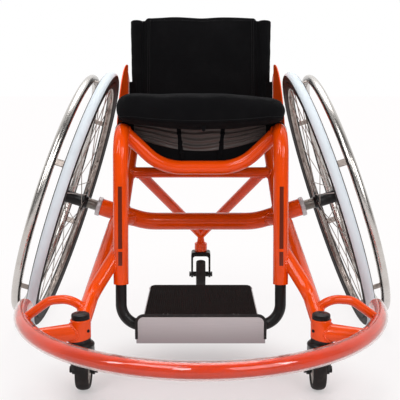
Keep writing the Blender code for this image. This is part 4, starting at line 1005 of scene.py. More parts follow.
class CasterHousings(bpy.types.Operator):
    """Turns the casters' bearing housings, with their arms, seals, crowns and caps, and the rear ring"""

    bl_idname = "wheelchair.caster_housings"
    bl_label = "Caster housings"

    def execute(self, context):
        place = shift(CASTER_AXIS.x, CASTER_AXIS.y)
        self.housings(place)
        seal = mm((7.5, 94.6), (17, 94.6), (17.8, 95.6), (17.8, 112), (7.5, 112))
        both_sides(lathe("left_caster_seal", seal, place), slot="rubber")
        crown = mm((18.2, 94.2), (24, 94.2), (24.6, 95.2), (24.1, 97.2), (22.2, 99.4), (18.2, 100.6))
        crown = lathe("left_caster_crown", crown, place, smooth=60)
        both_sides(crown, slot="black_metal", body="{}_fork")
        cap = mm(
            (0, 143.8), (16.5, 143.8), (16.5, 146.2), (16, 146.6), (16, 147.4), (16.5, 147.8),
            (16.5, 150.8), (15.8, 152.6), (13.5, 153.8), (6, 153.8), (5, 153), (0, 153),
        )
        both_sides(lathe("left_caster_cap_shown", cap, place), "caster_cap", "black_metal")
        out = shift(CASTER_AXIS.x, CASTER_AXIS.y, 0.1238) @ swing(radians(-55), "Z") @ shift(0, -0.0182)
        grub = screw("left_set_screw", out @ swing(pi / 2, "X"), 3.0, 1.2, 2.4, 1.6, 1.5, 0.4)
        both_sides(grub, slot="black_metal")
        ring = mm(
            (6, 108), (15.5, 108), (16.5, 109), (16.5, 129), (15.5, 130), (0, 130), (0, 127), (6, 127)
        )
        ring = lathe("rear_caster_housing_shown", ring, shift(0, REAR_CASTER_AXIS.y))
        dress(ring, "frame_paint", "frame", "rear_caster_housing")
        return {"FINISHED"}

    def housings(self, place):
        """A barrel whose foot is cut slanting, and its arm to the bumper."""
        wall = mm((6.5, 94), (17.2, 94), (18.5, 95.3), (18.5, 142.2), (17.2, 143.5), (6.5, 143.5))
        barrel = opened(lathe("barrel", wall, place))
        foot, slant = (CASTER_AXIS.x, CASTER_AXIS.y, 0.1050), (0.22, 0.04, 1)
        bpy.ops.mesh.bisect(plane_co=foot, plane_no=slant, clear_inner=True, use_fill=True)
        rounded_edges(shape_up(barrel), 0.0008, 2, 30)
        reach = (ARM_TIP - ARM_ROOT).length
        shank = [(0, 0.006), (0.0175, 0.006), (0.0115, reach), (0, reach)]
        arm = lathe("arm", shank, aimed(ARM_ROOT, ARM_TIP))
        both_sides(joined("left_caster_housing_shown", [barrel, arm]), "caster_housing")


class SideGuards(bpy.types.Operator):
    """Cuts the fins that keep clothes off the wheels"""

    bl_idname = "wheelchair.side_guards"
    bl_label = "Side guards"

    inner_x, thick = 0.1765, 0.0023
    round_r = 0.200
    lean, unleaned_z = 0.040, 0.450
    fade_y, fade_length = 0.235, 0.060

    def execute(self, context):
        centre = at(0, 0.050, 0.398)
        low_front = rail_point(-0.130).z - 0.004
        start = pi - asin((low_front - centre.z) / self.round_r)
        rim = arc(self.round_r, start, acos(0.125 / self.round_r), 48, (centre.y, centre.z))
        rear = rail_point(0.145)
        rim.append((at(0, 0.175, 0).y - 0.004, rim[-1][1] - 0.05))
        rim.append((rear.y, rear.z - 0.004))
        points = [(self.inner_x - (z - self.unleaned_z) * self.lean, y, z) for y, z in rim]
        guard = opened(plate("left_side_guard_shown", points, (self.thick, 0, 0), 0.0008))
        for i in range(6):
            bpy.ops.mesh.select_all(action="SELECT")
            bpy.ops.mesh.bisect(plane_co=(0, self.fade_y + 0.012 * i, 0), plane_no=(0, 1, 0))
        bpy.ops.object.mode_set(mode="OBJECT")
        for vert in guard.data.vertices:
            upright = eased(share_of(vert.co.y, self.fade_y, self.fade_length))
            vert.co.x += (vert.co.z - self.unleaned_z) * self.lean * upright
        both_sides(guard, "side_guard", finish="guard")
        return {"FINISHED"}


class DriveWheels(bpy.types.Operator):
    """Builds the tyres, rims, laced hubs and handrims"""

    bl_idname = "wheelchair.drive_wheels"
    bl_label = "Drive wheels"

    tyre_r = 0.2925
    well_r = 0.2668

    def execute(self, context):
        self.tyres()
        self.rims()
        self.hubs()
        self.handrims()
        return {"FINISHED"}

    def turned(self, name, profile, smooth=35, finer=1):
        """A profile spun about the axle, with Z outward."""
        return lathe(name, profile, WHEEL_PLACE, sizes().wheel_steps * finer, smooth)

    def tyres(self):
        """A tyre with a pale tread between dark side walls, a fine step where they meet."""
        section = []
        for i in range(48):
            turn = tau * i / 48
            away = abs(degrees(remainder(turn, tau)))
            radius = 0.0125 if away < 58 else 0.0121 if away < 64 else 0.0124
            section.append((self.tyre_r + radius * cos(turn), radius * sin(turn)))
        piece = self.turned("left_tyre_shown", section, 60)

        def wall(spot):
            return abs(degrees(atan2(spot.z, hypot(*spot.xy) - self.tyre_r))) > 56

        two_tone(piece, WHEEL_PLACE, "tyre", "rubber", wall)
        both_sides(piece, "tyre", "tyre", "{}_wheel")

    def rims(self):
        """A double-walled rim with brake flats, and the valve through it."""
        half = mm(
            (279.7, 5.4), (282.6, 9.8), (283.5, 10.2), (283.5, 10.8), (281.5, 10.8),
            (275.5, 9.8), (270.5, 8.4), (268, 6.4), (266.6, 3.6),
        )
        piece = self.turned("rim", doubled(half))
        two_tone(piece, WHEEL_PLACE, "rim", "rubber", lambda spot: abs(spot.z) > 0.0070)
        stem = mm(
            (0, 0), (4.5, 0), (4.5, 2), (2.7, 3), (2.7, 20), (3.4, 21), (3.4, 28), (2.2, 30), (0, 30)
        )
        inward = swing(radians(100), "Z") @ shift(self.well_r) @ swing(-pi / 2, "Y")
        valve = coated(lathe("valve", stem, WHEEL_PLACE @ inward, 24), "rim")
        both_sides(joined("left_rim_shown", [piece, valve]), "rim", "chrome", "{}_wheel")

    def hubs(self):
        """The hub shell, its laced spokes and their nipples."""
        half = mm(
            (6.8, -31), (13.6, -31), (14, -27.3), (15, -25.9), (22.8, -25.5),
            (23.5, -24.5), (23.5, -20.5), (22.8, -19.5), (15.5, -18.9), (14, -16.5),
        )
        shell = coated(self.turned("shell", doubled(half)), "black_metal")
        flange_r, flange_z, rim_z, crossing = 0.0205, 0.0225, 0.001, 0.0014
        count = sizes().spokes
        runs = []
        for i in range(count):
            face = 1 if i % 2 else -1
            way = 1 if i // 2 % 2 else -1
            turn = tau * i / count
            root = polar(flange_r, turn + way * radians(52))
            start = Vector((*root, face * flange_z + way * crossing))
            end = Vector((*polar(self.well_r, turn), face * rim_z + way * crossing))
            runs.append((start, end))
        size = (runs[0][1] - runs[0][0]).length
        profile = mm((0, -2), (2.2, -2), (2.2, 1), (1.1, 2), (1, 30))
        profile += [(0.0010, size - 0.016), (0.0018, size - 0.0145)]
        profile += [(0.0018, size - 0.001), (0, size - 0.001)]
        spoke = coated(lathe("spoke", profile, None, 8, 50), "rim")
        spokes = repeated(spoke, [WHEEL_PLACE @ aimed(start, end) for start, end in runs])
        hub = joined("left_hub_shown", [shell, *spokes])
        both_sides(hub, "hub_and_spokes", "black_metal", "{}_wheel")

    def handrims(self):
        """The polished ring and the tabs that hold it to the rim."""
        ring_r, ring_out, thick, tabs, first = 0.276, 0.040, 0.0098, 6, 6
        section = arc(thick, 0, tau, 36, (ring_r, ring_out))[:-1]
        ring = coated(self.turned("ring", section, 80, 2), "chrome")
        corners = mm((274.3, -7), (274.3, 7), (277.7, 7), (277.7, -7))
        tab = coated(plate("tab", [(x, y, 0.0098) for x, y in corners], (0, 0, 0.024), 0.0010), "rim")
        turns = [radians(first + 360 // tabs * i) for i in range(tabs)]
        made = repeated(tab, [WHEEL_PLACE @ swing(turn, "Z") for turn in turns])
        both_sides(joined("left_handrim_shown", [ring, *made]), "handrim", "chrome", "{}_wheel")


class Axles(bpy.types.Operator):
    """Turns the ribbed axle sleeves, their split lock rings, and the quick-release heads"""

    bl_idname = "wheelchair.axles"
    bl_label = "Axles"

    def execute(self, context):
        ribs = []
        for i in range(8):
            low = -53 + 2.7 * i
            ribs += [(10.8, low), (12.4, low + 0.7), (12.4, low + 1.5), (10.8, low + 2.2)]
        profile = mm((0, -90), (12, -90), (12.4, -54), *ribs, (10.8, -31.6), (0, -31.6))
        sleeve = lathe("left_axle_sleeve_shown", profile, WHEEL_PLACE, 64, 50)
        both_sides(sleeve, "axle_sleeve", "satin_metal")
        split = WHEEL_PLACE @ swing(radians(150), "Z")
        ring = mm((12.7, -64), (21.2, -64), (22.2, -63), (22.2, -55.3), (21.2, -54.1), (12.7, -54.1))
        collar = lathe("collar", ring, split, 90, angle=radians(352))
        place = WHEEL_PLACE @ shift(0, 0, -0.0590) @ swing(radians(146), "Z")
        place = place @ shift(0.0172, 0.007) @ swing(pi / 2, "X")
        clamp = screw("screw", place, 2.6, 13, 2.2, 13.5, 1.3, 12)
        both_sides(joined("left_axle_collar_shown", [collar, clamp]), "axle_collar", "silver")
        head = mm(
            (0, 30), (6.3, 30), (6.3, 31.6), (9.8, 31.6), (10.5, 32.3), (10.5, 38),
            (9.2, 39.4), (4.5, 39.4), (4.5, 36), (0, 36),
        )
        both_sides(lathe("left_axle_pin_shown", head, WHEEL_PLACE), "axle_pin", "satin_metal")
        knob = mm((0, 27.5), (4.2, 27.5), (4.2, 44.4), (3.6, 45.3), (2, 45.5), (0, 45.5))
        button = lathe("left_axle_button_shown", knob, WHEEL_PLACE, 32)
        both_sides(button, "axle_button", "silver", "{}_button")
        return {"FINISHED"}


class Casters(bpy.types.Operator):
    """Turns the wheels of the three casters"""

    bl_idname = "wheelchair.casters"
    bl_label = "Casters"

    def execute(self, context):
        both_sides(self.wheel("left"), "caster_wheel", "rubber", "{}_caster")
        dress(self.wheel("rear"), "rubber", "rear_caster", "rear_caster_wheel")
        return {"FINISHED"}

    def wheel(self, which):
        """A solid tyre moulded on a paler core."""
        half = mm(
            (5, -11.8), (12, -11.8), (13, -10.8), (14.5, -9.2), (25.5, -8.8), (26.8, -9.8),
            (27.5, -11.2), (30, -12.4), (33, -12.2), (35, -10.4), (36.4, -7.4), (37.2, -3.8), (37.5, -1.2),
        )
        place = shift(*JOINT[f"{which}_caster_spin"]["pos_m"]) @ swing(pi / 2, "Y")
        piece = lathe(f"{which}_caster_wheel_shown", doubled(half), place, 72, 40)
        core_r = 0.0262
        return two_tone(piece, place, "rubber", "satin_metal", lambda spot: hypot(*spot.xy) < core_r)


class Bumper(bpy.types.Operator):
    """Bends the bumper bar and slips its clear hose on"""

    bl_idname = "wheelchair.bumper"
    bl_label = "Bumper"

    def execute(self, context):
        bar = self.half_ring("bumper_bar_shown", 1.7, BUMPER_BAR_R)
        dress(bar, "frame_paint", "frame", "bumper_bar")
        hose = self.half_ring("bumper_hose_shown", 2.2, HOSE_R, HOSE_WALL)
        arch = [ARCH_KNEES[1], ARCH_TIP]
        arm = [ARM_TIP.lerp(ARM_ROOT, 0.55), ARM_TIP]
        for side in SIDES:
            for path, radius, facets in ((arch, 0.0097, 24), (arm, 0.0142, 32)):
                path = [flipped(point, side) for point in path]
                notched(hose, tube("cutter", path, radius, facets=facets))
        dress(shaded(hose, 40), "hose", "frame", "bumper_hose")
        return {"FINISHED"}

    def half_ring(self, name, short, radius, wall=0.0):
        """A bar bent to a half circle that ends some degrees short, or a hose where it has a wall."""
        piece = disc(name, bumper_point(short), bumper_way(short), radius, 32)
        if wall:
            bpy.ops.mesh.inset(thickness=wall)
            bpy.ops.mesh.delete(type="ONLY_FACE")
            bpy.ops.mesh.select_all(action="SELECT")
        turn = radians(180 - 2 * short)
        bpy.ops.mesh.spin(steps=96, angle=turn, center=BUMPER_CENTRE, axis=(0, 0, 1))
        return shape_up(piece, 60)


class Footrest(bpy.types.Operator):
    """Builds the footrest's tube, tray, mat and edging"""

    bl_idname = "wheelchair.footrest"
    bl_label = "Footrest"

    tube_r, inside = 0.011, 0.080

    def execute(self, context):
        path = [leg_point(LEG_END + self.inside * cos(LEG_LEAN)), leg_point(0.086)]
        foot_tube = cross_tube("footrest_tube_shown", path, self.tube_r, 0.042)
        dress(foot_tube, "black_metal", "footrest", "footrest_tube")
        self.tray()
        self.mat()
        self.edging()
        return {"FINISHED"}

    def tray(self):
        """The apron in front, the folded tread behind it and its round end, with their rivets."""
        front, rear = at(0, -0.3205, 0).y, at(0, -0.088, 0).y
        face = across([(0.127, 0.0545), *arc(0.015, 0, pi / 2, 8, (0.112, 0.0965))])
        apron = slab("apron", face, front, 0.003, 0.0006)
        half, fold, low = 0.1145, 0.004, 0.0995
        outside = [(half, low), *arc(fold, 0, pi / 2, 6, (half - fold, 0.1065 - fold))]
        inside = [(0.003 - half, low), (0.003 - half, 0.1035)]
        tread = slab("tread", across(outside) + across(inside), front + 0.0015, rear - front - 0.0165)
        end = plate("end", self.deck(half, rear - 0.022, rear, 0.014, 0.1034), (0, 0, 0.0031), 0.0004)
        dress(joined("footplate_shown", [apron, tread, end]), "silver", "footplate", "footplate")
        head = mm((0, 0), (3.2, 0), (2.8, 0.9), (1.5, 1.5), (0, 1.6))
        rivet = lathe("rivet", head, None, 24, 60)
        y = at(0, -0.3065, 0).y
        rivets = repeated(rivet, [shift(x, y, 0.1086) for x in (-0.0742, -0.0650, 0.0650, 0.0742)])
        dress(joined("tread_rivets", rivets), "satin_metal", "footplate")

    def deck(self, half, front, rear, corner, height):
        """A level outline, square in front and with round corners behind."""
        right = [(half, front), *arc(corner, 0, pi / 2, 8, (half - corner, rear - corner))]
        return [(x, y, height) for x, y in across(right)]

    def mat(self):
        points = self.deck(0.1115, at(0, -0.3125, 0).y, at(0, -0.0895, 0).y, 0.0125, 0.1068)
        mat = plate("footplate_mat_shown", points, (0, 0, 0.002), 0.0007)
        dress(mat, "rubber", "footplate", "footplate_mat", finish="mat")

    def edging(self):
        """A moulded edge pressed on the apron's sides and top."""
        half, y = 0.1265, at(0, -0.3190, 0).y
        path = [Vector((half, y, 0.0635)), Vector((half, y, 0.1110))]
        trim = cross_tube("footplate_trim_shown", path, 0.0031, 0.0145, 20)
        dress(trim, "black_metal", "footplate", "footplate_trim", finish="rubber")


class Seat(bpy.types.Operator):
    """Hangs the seat's upholstery between the rails, with its straps, and lays the cushion on it"""

    bl_idname = "wheelchair.seat"
    bl_label = "Seat"

    half_x, front, rear, corner, low, height = 0.169, -0.006, 0.358, 0.040, 0.0181, 0.048
    middle, half_y = (front + rear) / 2, (rear - front) / 2
    hung_front, hung_rear, flap_y = 0.066, 0.322, 0.0668

    def execute(self, context):
        self.trough()
        self.front_straps()
        self.cushion()
        return {"FINISHED"}

    def line(self, drop=0.0):
        """The hung sheet's run from rail to rail, in the seat's own frame."""
        half = mm(
            (147.5, -13.5), (140.5, -17.5), (130, -25.5), (114, -38.5),
            (96, -51), (78, -59.5), (54, -62), (27, -62.8),
        )
        run = across(half)
        run.insert(len(half), (0.0, -0.0630))
        return [(x, z - drop) for x, z in run]

    def sag(self, x):
        """How far the cushion hangs between the rails."""
        return 0.010 * max(0.0, 1 - (x / 0.134) ** 2)

    def trough(self):
        """The sagging sheet, its sleeves round the rails, its front flap, hems and straps under it."""
        line = self.line()
        run = sum(dist(a, b) for a, b in zip(line, line[1:]))
        deep = self.hung_rear - self.hung_front

        def shape(u, v):
            spot = u * (len(line) - 1)
            i = min(int(spot), len(line) - 2)
            (x0, z0), (x1, z1) = line[i], line[i + 1]
            share = spot - i
            x, z = x0 + (x1 - x0) * share, z0 + (z1 - z0) * share
            between = 0.0012 * sin(v * pi * 8) ** 2 * (1 - (2 * u - 1) ** 4)
            return Vector((x, self.hung_front + deep * v, z - between))

        sheet = draped("seat_sling_shown", 64, 64, shape, (0, 0, 0.0020), SEAT_PLACE)
        dress(sheet, "webbing", "frame", "seat_sling", finish="fabric")
        made = []
        profile = mm((15.3, 66.2), (17.6, 66.2), (18.1, 68), (18.1, 72), (17.4, 73.6))
        profile += mm(*((17.6, 100 + 20 * i) for i in range(10)))
        profile += mm((17.4, 314.2), (18.1, 315.8), (18.1, 320), (17.6, 321.8), (15.3, 321.8))
        for side in SIDES:
            place = SEAT_PLACE @ shift(side * RAIL_X) @ swing(-pi / 2, "X")
            made.append(crumpled(lathe("sleeve", profile, place, smooth=60), 0.0005, 0.018))
        wide = [0.154 * (1 - i / 16) for i in range(33)]
        flap = [(x, 0.0170 - self.sag(x)) for x in wide]
        flap += [(x, z) for x, z in reversed(line) if abs(x) < 0.145]
        made.append(slab("flap", flap, self.flap_y, 0.004, 0.0008, place=SEAT_PLACE))
        for y, thick in ((self.flap_y, 0.0021), (self.hung_rear, 0.0018)):
            made.append(strung("hem", [SEAT_PLACE @ Vector((x, y, z)) for x, z in line], thick))
        sleeves = dress(joined("sling_sleeves", made), "webbing", "frame", finish="fabric")
        points = self.line(0.0022) + self.line(0.0034)[::-1]
        under = [slab("band", points, y, 0.038, place=SEAT_PLACE) for y in (0.084, 0.146, 0.208, 0.270)]
        dress(joined("sling_straps", under), "webbing", "frame")

    def front_straps(self):
        """Three gathered satin straps in front of the flap, and the two bands that part them."""
        made = []
        spans = ((-0.1370, -0.0470), (-0.0405, 0.0405), (0.0470, 0.1330))
        for number, (left, right) in enumerate(spans):

            def shape(u, v, left=left, right=right, number=number):
                x = left + (right - left) * u
                top = 0.0165 - self.sag(x)
                bottom = -0.0415 + 0.026 * (x / 0.13) ** 2
                z = top + (bottom - top) * v
                drift = 0.45 * noise.noise(Vector((u * 1.3, v * 1.2, number * 7.3)))
                fold = sin((v * 4.3 + drift) * tau)
                fine = noise.noise(Vector((u * 3.0, v * 22.0, number * 3.1)))
                edge = min(1.0, 8 * v, 8 * (1 - v))
                ends = min(1.0, 10 * u, 10 * (1 - u))
                out = (0.0017 + 0.0017 * fold + 0.0006 * fine) * edge * (0.35 + 0.65 * ends)
                return Vector((x, 0.0652 - out, z))

            made.append(draped("strap", 36, 60, shape, (0, 0.0010, 0), SEAT_PLACE))
        dress(joined("front_straps", made), "webbing", "frame")
        bands = []
        half, top, bottom = 0.0037, 0.0085, -0.0590
        for high, low in ((-0.0465, -0.0370), (0.0465, 0.0375)):
            corners = [(high - half, top), (high + half, top)]
            corners += [(low + half, bottom), (low - half, bottom)]
            bands.append(slab("band", corners, 0.0632, 0.0014, 0.0004, 1, SEAT_PLACE))
            for share in (0.22, 0.48, 0.80):
                x, z = high + (low - high) * share, top + (bottom - top) * share
                ends = [SEAT_PLACE @ Vector((x + way * (half + 0.001), 0.0626, z)) for way in (-1, 1)]
                bands.append(strung("bar_tack", ends, 0.0021))
        dress(joined("front_bands", bands), "webbing", "frame", finish="fabric")

    def edge_path(self, up):
        """A rounded rectangle round the cushion, this far above its underside, in the room."""
        inset, step = 0.001, 0.008
        straight_x, straight_y = self.half_x - inset - self.corner, self.half_y - inset - self.corner
        points = []
        for sx, sy, start in ((1, 1, 0), (-1, 1, 90), (-1, -1, 180), (1, -1, 270)):
            middle = (sx * straight_x, sy * straight_y)
            points += arc(self.corner, radians(start), radians(start + 90), 8, middle)
        room = []
        for (x0, y0), (x1, y1) in zip(points, points[1:] + points[:1]):
            steps = max(1, round(hypot(x1 - x0, y1 - y0) / step))
            for k in range(steps):
                x, y = x0 + (x1 - x0) * k / steps, y0 + (y1 - y0) * k / steps
                z = self.low + up - self.sag(x) * (1 - up / self.height)
                room.append(SEAT_PLACE @ Vector((x, self.middle + y, z)))
        return room

    def cushion(self):
        """The boxed foam cushion, swollen by a cloth simulation, then welted and stitched."""
        piece = copied(frame["nodes"]["seat_cushion"], "seat_cushion_shown")
        piece.data.materials.clear()
        opened(piece)
        bpy.ops.mesh.remove_doubles(threshold=1e-5)
        bpy.ops.object.mode_set(mode="OBJECT")
        apply(piece, "REMESH", mode="VOXEL", voxel_size=0.0055, use_smooth_shade=True)
        apply(piece, "SMOOTH", factor=0.5, iterations=1)
        puffed(piece, sizes().puff)
        back = SEAT_PLACE.inverted()
        spots = [back @ vert.co for vert in piece.data.vertices]
        wide = max(abs(spot.x) for spot in spots)
        long = max(abs(spot.y - self.middle) for spot in spots)
        for vert, spot in zip(piece.data.vertices, spots):
            spot.x *= (self.half_x + 0.0005) / wide
            spot.y = self.middle + (spot.y - self.middle) * self.half_y / long
            up = share_of(spot.z - self.low, 0.012, 0.03)
            aside = share_of(spot.x, 0.03, 0.13)
            rim = min(1.0, abs(spot.x) / self.half_x) ** 4
            crown = max(0.0, 1 - ((spot.y - self.middle) / self.half_y) ** 2)
            spot.z += up * (0.008 * (rim - rim**3) - 0.006 * crown)
            spot.z -= 0.009 * up * eased(aside)
            vert.co = SEAT_PLACE @ spot
        crumpled(piece, 0.0016, 0.055)
        apply(piece, "SUBSURF", levels=1, render_levels=1)
        bpy.ops.object.shade_smooth()
        dress(piece, "fabric", "frame", "seat_cushion")
        welt = on_surface(piece, self.edge_path(0.005), 0.0002)
        dress(strung("cushion_welt", welt, 0.0017, True), "fabric", "frame")
        row = on_surface(piece, self.edge_path(0.0075), 0.0001)
        dress(stitched("cushion_stitches", row), "fabric", "frame", finish="thread")
        tab = mm((1, 8.5), (9.5, 8), (8.8, -0.5), (6.2, -3), (2.5, -1.5))
        dress(slab("cushion_tab", tab, 0.004, 0.0016, 0.0004, 1, SEAT_PLACE), "fabric", "frame")


class Backrest(bpy.types.Operator):
    """Builds the back's canes and bar and its padded panel"""

    bl_idname = "wheelchair.backrest"
    bl_label = "Backrest"

    half, low, high, seams = 0.1402, 0.056, 0.2890, (0.1240, 0.1325)
    bar_z = 0.175

    def execute(self, context):
        made = []
        for side in SIDES:
            path = [BACK_PLACE @ Vector((side * RAIL_X, 0, z)) for z in (-0.014, 0.278)]
            made.append(coated(tube("cane", path, 0.0111), "black_metal"))
        bar = [BACK_PLACE @ Vector((side * RAIL_X, 0.01466, self.bar_z)) for side in SIDES]
        made.append(tube("bar", bar, 0.008, facets=24))
        for side in SIDES:
            place = BACK_PLACE @ shift(side * RAIL_X, 0.0222, self.bar_z) @ swing(-pi / 2, "X")
            made.append(screw("screw", place, 4.8, 1.6, 3.8, 2.6, 2.2, 1.2))
            x, half, low, high = side * (RAIL_X + 0.0085), 0.0088, 0.0765, 0.1235
            corners = [(x - half, low), (x + half, low), (x + half, high), (x - half, high)]
            tab = slab("tab", corners, -0.0171, 0.0040, 0.0012, 2, BACK_PLACE)
            made.append(coated(tab, "fabric"))
        dress(joined("back_frame_shown", made), "black_metal", "backrest", "back_frame")
        self.panel()
        self.sleeves()
        return {"FINISHED"}

    def top(self, x):
        """The height of the waved top hem, round at both corners."""
        corner_r = 0.012
        wave = 0.0016 * cos(tau * (abs(x / self.half) - 0.47))
        into = abs(x) - (self.half - corner_r)
        corner = corner_r - sqrt(max(0.0, corner_r**2 - into**2)) if into > 0 else 0.0
        return self.high + wave - corner * 0.8

    def panel(self):
        """The padded panel: swollen by a cloth simulation between its sewn seams."""
        seam, edge = self.seams
        wide = [-seam + 2 * seam * i / 42 for i in range(1, 42)]
        side = [seam, seam + 0.0014, (seam + edge) / 2, edge - 0.0012, edge, edge + 0.0022, self.half]
        columns = [-x for x in reversed(side)] + wide + side

        def shape(u, v):
            x = columns[round(u * (len(columns) - 1))]
            high = self.top(x)
            z = self.low + (high - self.low) * v
            rim = min(1.0, (self.half - abs(x)) / 0.004, (z - self.low) / 0.006, (high - z) / 0.006)
            channel = 0.0012 if any(abs(abs(x) - s) < 0.0004 for s in self.seams) else 0.0
            return Vector((x, -0.0075 - 0.0025 * rim + channel, z))

        piece = draped("back_upholstery_shown", len(columns) - 1, 36, shape, (0, 0.0150, 0))
        held = piece.vertex_groups.new(name="held")
        for vert in piece.data.vertices:
            x, y, z = vert.co
            rim = z < self.low + 0.004 or z > self.top(x) - 0.006 or abs(x) > edge - 0.0004
            if rim or y > 0 or abs(abs(x) - seam) < 0.0018:
                held.add([vert.index], 1.0, "REPLACE")
        puffed(piece, 0.0062, "held")
        apply(piece, "SUBSURF", levels=1, render_levels=1)
        crumpled(piece, 0.0010, 0.05)
        piece.vertex_groups.clear()
        put(piece, BACK_PLACE)
        bpy.ops.object.shade_smooth()
        dress(piece, "fabric", "backrest", "back_upholstery")
        sewn = [way * s for way in (-1, 1) for s in self.seams]
        lines = [[(x, self.low + 0.004 * k) for k in range(1, 57)] for x in sewn]
        hem = [seam * (i / 30 - 1) for i in range(61)]
        lines.append([(x, self.top(x) - 0.008) for x in hem])
        rows = []
        for line in lines:
            points = on_surface(piece, [BACK_PLACE @ Vector((x, -0.02, z)) for x, z in line], 0.0001)
            rows.append(stitched("row", points))
        dress(joined("back_stitches", rows), "fabric", "backrest", finish="thread")

    def sleeves(self):
        """The sleeves over the canes, the web that joins them to the panel, and the straps behind."""
        made = []
        profile = mm((11.3, 60.2), (12.3, 60.2), (12.7, 62), (12.7, 68), (12.1, 70))
        profile += mm(*((12 + 0.4 * i / 9, 75 + 5.8 * i) for i in range(10)))
        profile += mm(*((12.6 + 3.6 * i / 22, 133 + 6.3 * i) for i in range(23)))
        profile += mm((16.2, 277.4), (15.4, 278.8), (9, 279.6), (0, 279.8), (0, 278.3), (11.3, 278.3))
        for side in SIDES:
            place = BACK_PLACE @ shift(side * RAIL_X)
            made.append(crumpled(lathe("sleeve", profile, place, smooth=60), 0.0007, 0.022))
            inner, outer = side * 0.1365, side * 0.154
            web = [(inner, self.low + 0.006), (outer, self.low + 0.014), (outer, 0.2786), (inner, 0.2800)]
            made.append(slab("web", web, -0.0060, 0.0065, 0.001, 1, BACK_PLACE))
        for low, high in ((0.078, 0.116), (0.214, 0.252)):
            strap = [(-0.15, low), (0.15, low), (0.15, high), (-0.15, high)]
            made.append(slab("strap", strap, 0.0077, 0.0016, 0.0005, 1, BACK_PLACE))
        dress(joined("back_sleeves", made), "fabric", "backrest")


class CarriedNodes(bpy.types.Operator):
    """Finishes the frame's own pieces that stay in sight"""

    bl_idname = "wheelchair.carried_nodes"
    bl_label = "Carried pieces"

    def execute(self, context):
        for name, node in frame["nodes"].items():
            if not node.hide_render:
                node.data.materials.clear()
                coated(node, "black_metal" if name.endswith("caster_bolt") else SLOT_OF[name])
        return {"FINISHED"}


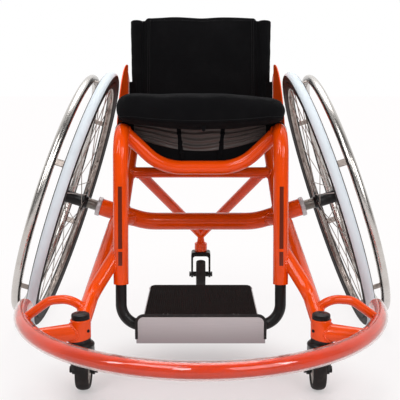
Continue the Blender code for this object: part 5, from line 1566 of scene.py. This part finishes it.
class Stage(bpy.types.Operator):
    """Sets up the pale floor, the soft light and the camera"""

    bl_idname = "wheelchair.stage"
    bl_label = "Stage"

    def execute(self, context):
        scene = context.scene
        scene.view_settings.view_transform = "Standard"
        self.floor()
        self.world(scene)
        self.lamp("key", (-1.1, -1.7, 2.7), 27, 1.3, 1.3)
        self.lamp("fill", (1.2, -1.9, 1.4), 18, 1.3, 1.3)
        self.lamp("top", (0.0, 0.9, 2.6), 34, 1.5, 1.5)
        for name, x, y in (("left", -1.65, -1.44), ("middle", -0.35, -1.95), ("right", 1.65, -1.44)):
            self.lamp(f"{name}_strip", (x, y, 1.50), 8, 0.32, 0.85).visible_diffuse = False
        bpy.ops.object.camera_add(location=(0, -1.622, 0.59), rotation=(radians(80.4), 0, 0))
        camera = context.object
        camera.data.lens = 70.2
        camera.data.sensor_width = 36
        camera.data.shift_x = -0.002
        scene.camera = camera
        return {"FINISHED"}

    def floor(self):
        """A wide floor that keeps the chair's shadow and goes over into white round it."""
        deselect()
        bpy.ops.mesh.primitive_plane_add(size=30, location=(0, 0, 0))
        floor = named("floor")
        bpy.ops.mesh.subdivide(number_cuts=12)
        bpy.ops.object.mode_set(mode="OBJECT")
        finish = Finish("pale_floor", Base_Color=(0.82, 0.745, 0.755, 1))
        finish.wire(Roughness=0.5 + finish.noise(3, 2) * 0.1)
        under = finish.place(spot=(0, 0.30, 0))
        reach = finish.node("ShaderNodeVectorMath", {"operation": "LENGTH"}, {0: under}, 1)
        white = (1, 0.985, 0.985, 1)
        glow = finish.node("ShaderNodeEmission", inputs={"Color": white, "Strength": 1.0})
        seen, shiny, through = finish.rays()
        near = finish.band(reach, 0.14, 0.40, 0.26, 0.86) + finish.band(reach, 0.60, 1.30, 0.0, 0.14)
        plain = Value(finish.tree, finish.shader.outputs[0])
        inputs = {0: near * seen.most(shiny.most(through)), 1: plain, 2: glow}
        mixed = finish.node("ShaderNodeMixShader", inputs=inputs)
        feed(finish.tree.nodes["Material Output"].inputs["Surface"], mixed)
        floor.data.materials.append(finish.material)

    def world(self, scene):
        """White to the camera and through clear things, and plain light on the chair."""
        scene.world = bpy.data.worlds.new("studio")
        scene.world.use_nodes = True
        sky = Wiring(scene.world.node_tree)
        sky.tree.nodes.clear()
        seen, shiny, through = sky.rays()
        way = sky.node("ShaderNodeTexCoord", output="Generated")
        backdrop = seen.most(through * sky.band(sky.part(way, "Z"), 0.25, 0.60, 1.0, 0.55))
        mirror = sky.band(sky.part(way, "Y"), -0.35, 0.45, 0.06, 1.0)
        strength = backdrop + (1 - backdrop) * (shiny * mirror + (1 - shiny) * 0.50)
        light = sky.node("ShaderNodeBackground", inputs={"Color": (1, 1, 1, 1), "Strength": strength})
        sky.node("ShaderNodeOutputWorld", inputs={"Surface": light})

    def lamp(self, name, spot, watts, wide, tall):
        aim = Vector((0, 0.1, 0.3)) - Vector(spot)
        turn = aim.to_track_quat("-Z", "Y").to_euler()
        bpy.ops.object.light_add(type="AREA", location=spot, rotation=turn)
        lamp = bpy.context.object
        lamp.name = name
        lamp.data.energy = watts
        lamp.data.shape = "RECTANGLE"
        lamp.data.size = wide
        lamp.data.size_y = tall
        return lamp


STEPS = (
    FrameTubes,
    CasterHousings,
    SideGuards,
    DriveWheels,
    Axles,
    Casters,
    Bumper,
    Footrest,
    Seat,
    Backrest,
    CarriedNodes,
    Stage,
)


class ChairPanel(bpy.types.Panel):
    """The chair's steps, sizes and colours"""

    bl_idname = "VIEW3D_PT_wheelchair"
    bl_label = "Basketball wheelchair"
    bl_space_type = "VIEW_3D"
    bl_region_type = "UI"
    bl_category = "Wheelchair"

    def draw(self, context):
        for group in (context.scene.chair_sizes, context.scene.chair_colours):
            for name in group.__annotations__:
                self.layout.prop(group, name)
        for step in STEPS:
            self.layout.operator(step.bl_idname)


def register():
    for kind in (ChairSizes, ChairColours, *STEPS, ChairPanel):
        bpy.utils.register_class(kind)
    bpy.types.Scene.chair_sizes = PointerProperty(type=ChairSizes)
    bpy.types.Scene.chair_colours = PointerProperty(type=ChairColours)


def unregister():
    del bpy.types.Scene.chair_colours
    del bpy.types.Scene.chair_sizes
    for kind in (ChairPanel, *reversed(STEPS), ChairColours, ChairSizes):
        bpy.utils.unregister_class(kind)


def main():
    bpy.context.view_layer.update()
    register()
    for step in STEPS:
        group, name = step.bl_idname.split(".")
        getattr(getattr(bpy.ops, group), name)()
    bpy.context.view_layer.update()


if __name__ == "__main__":
    main()
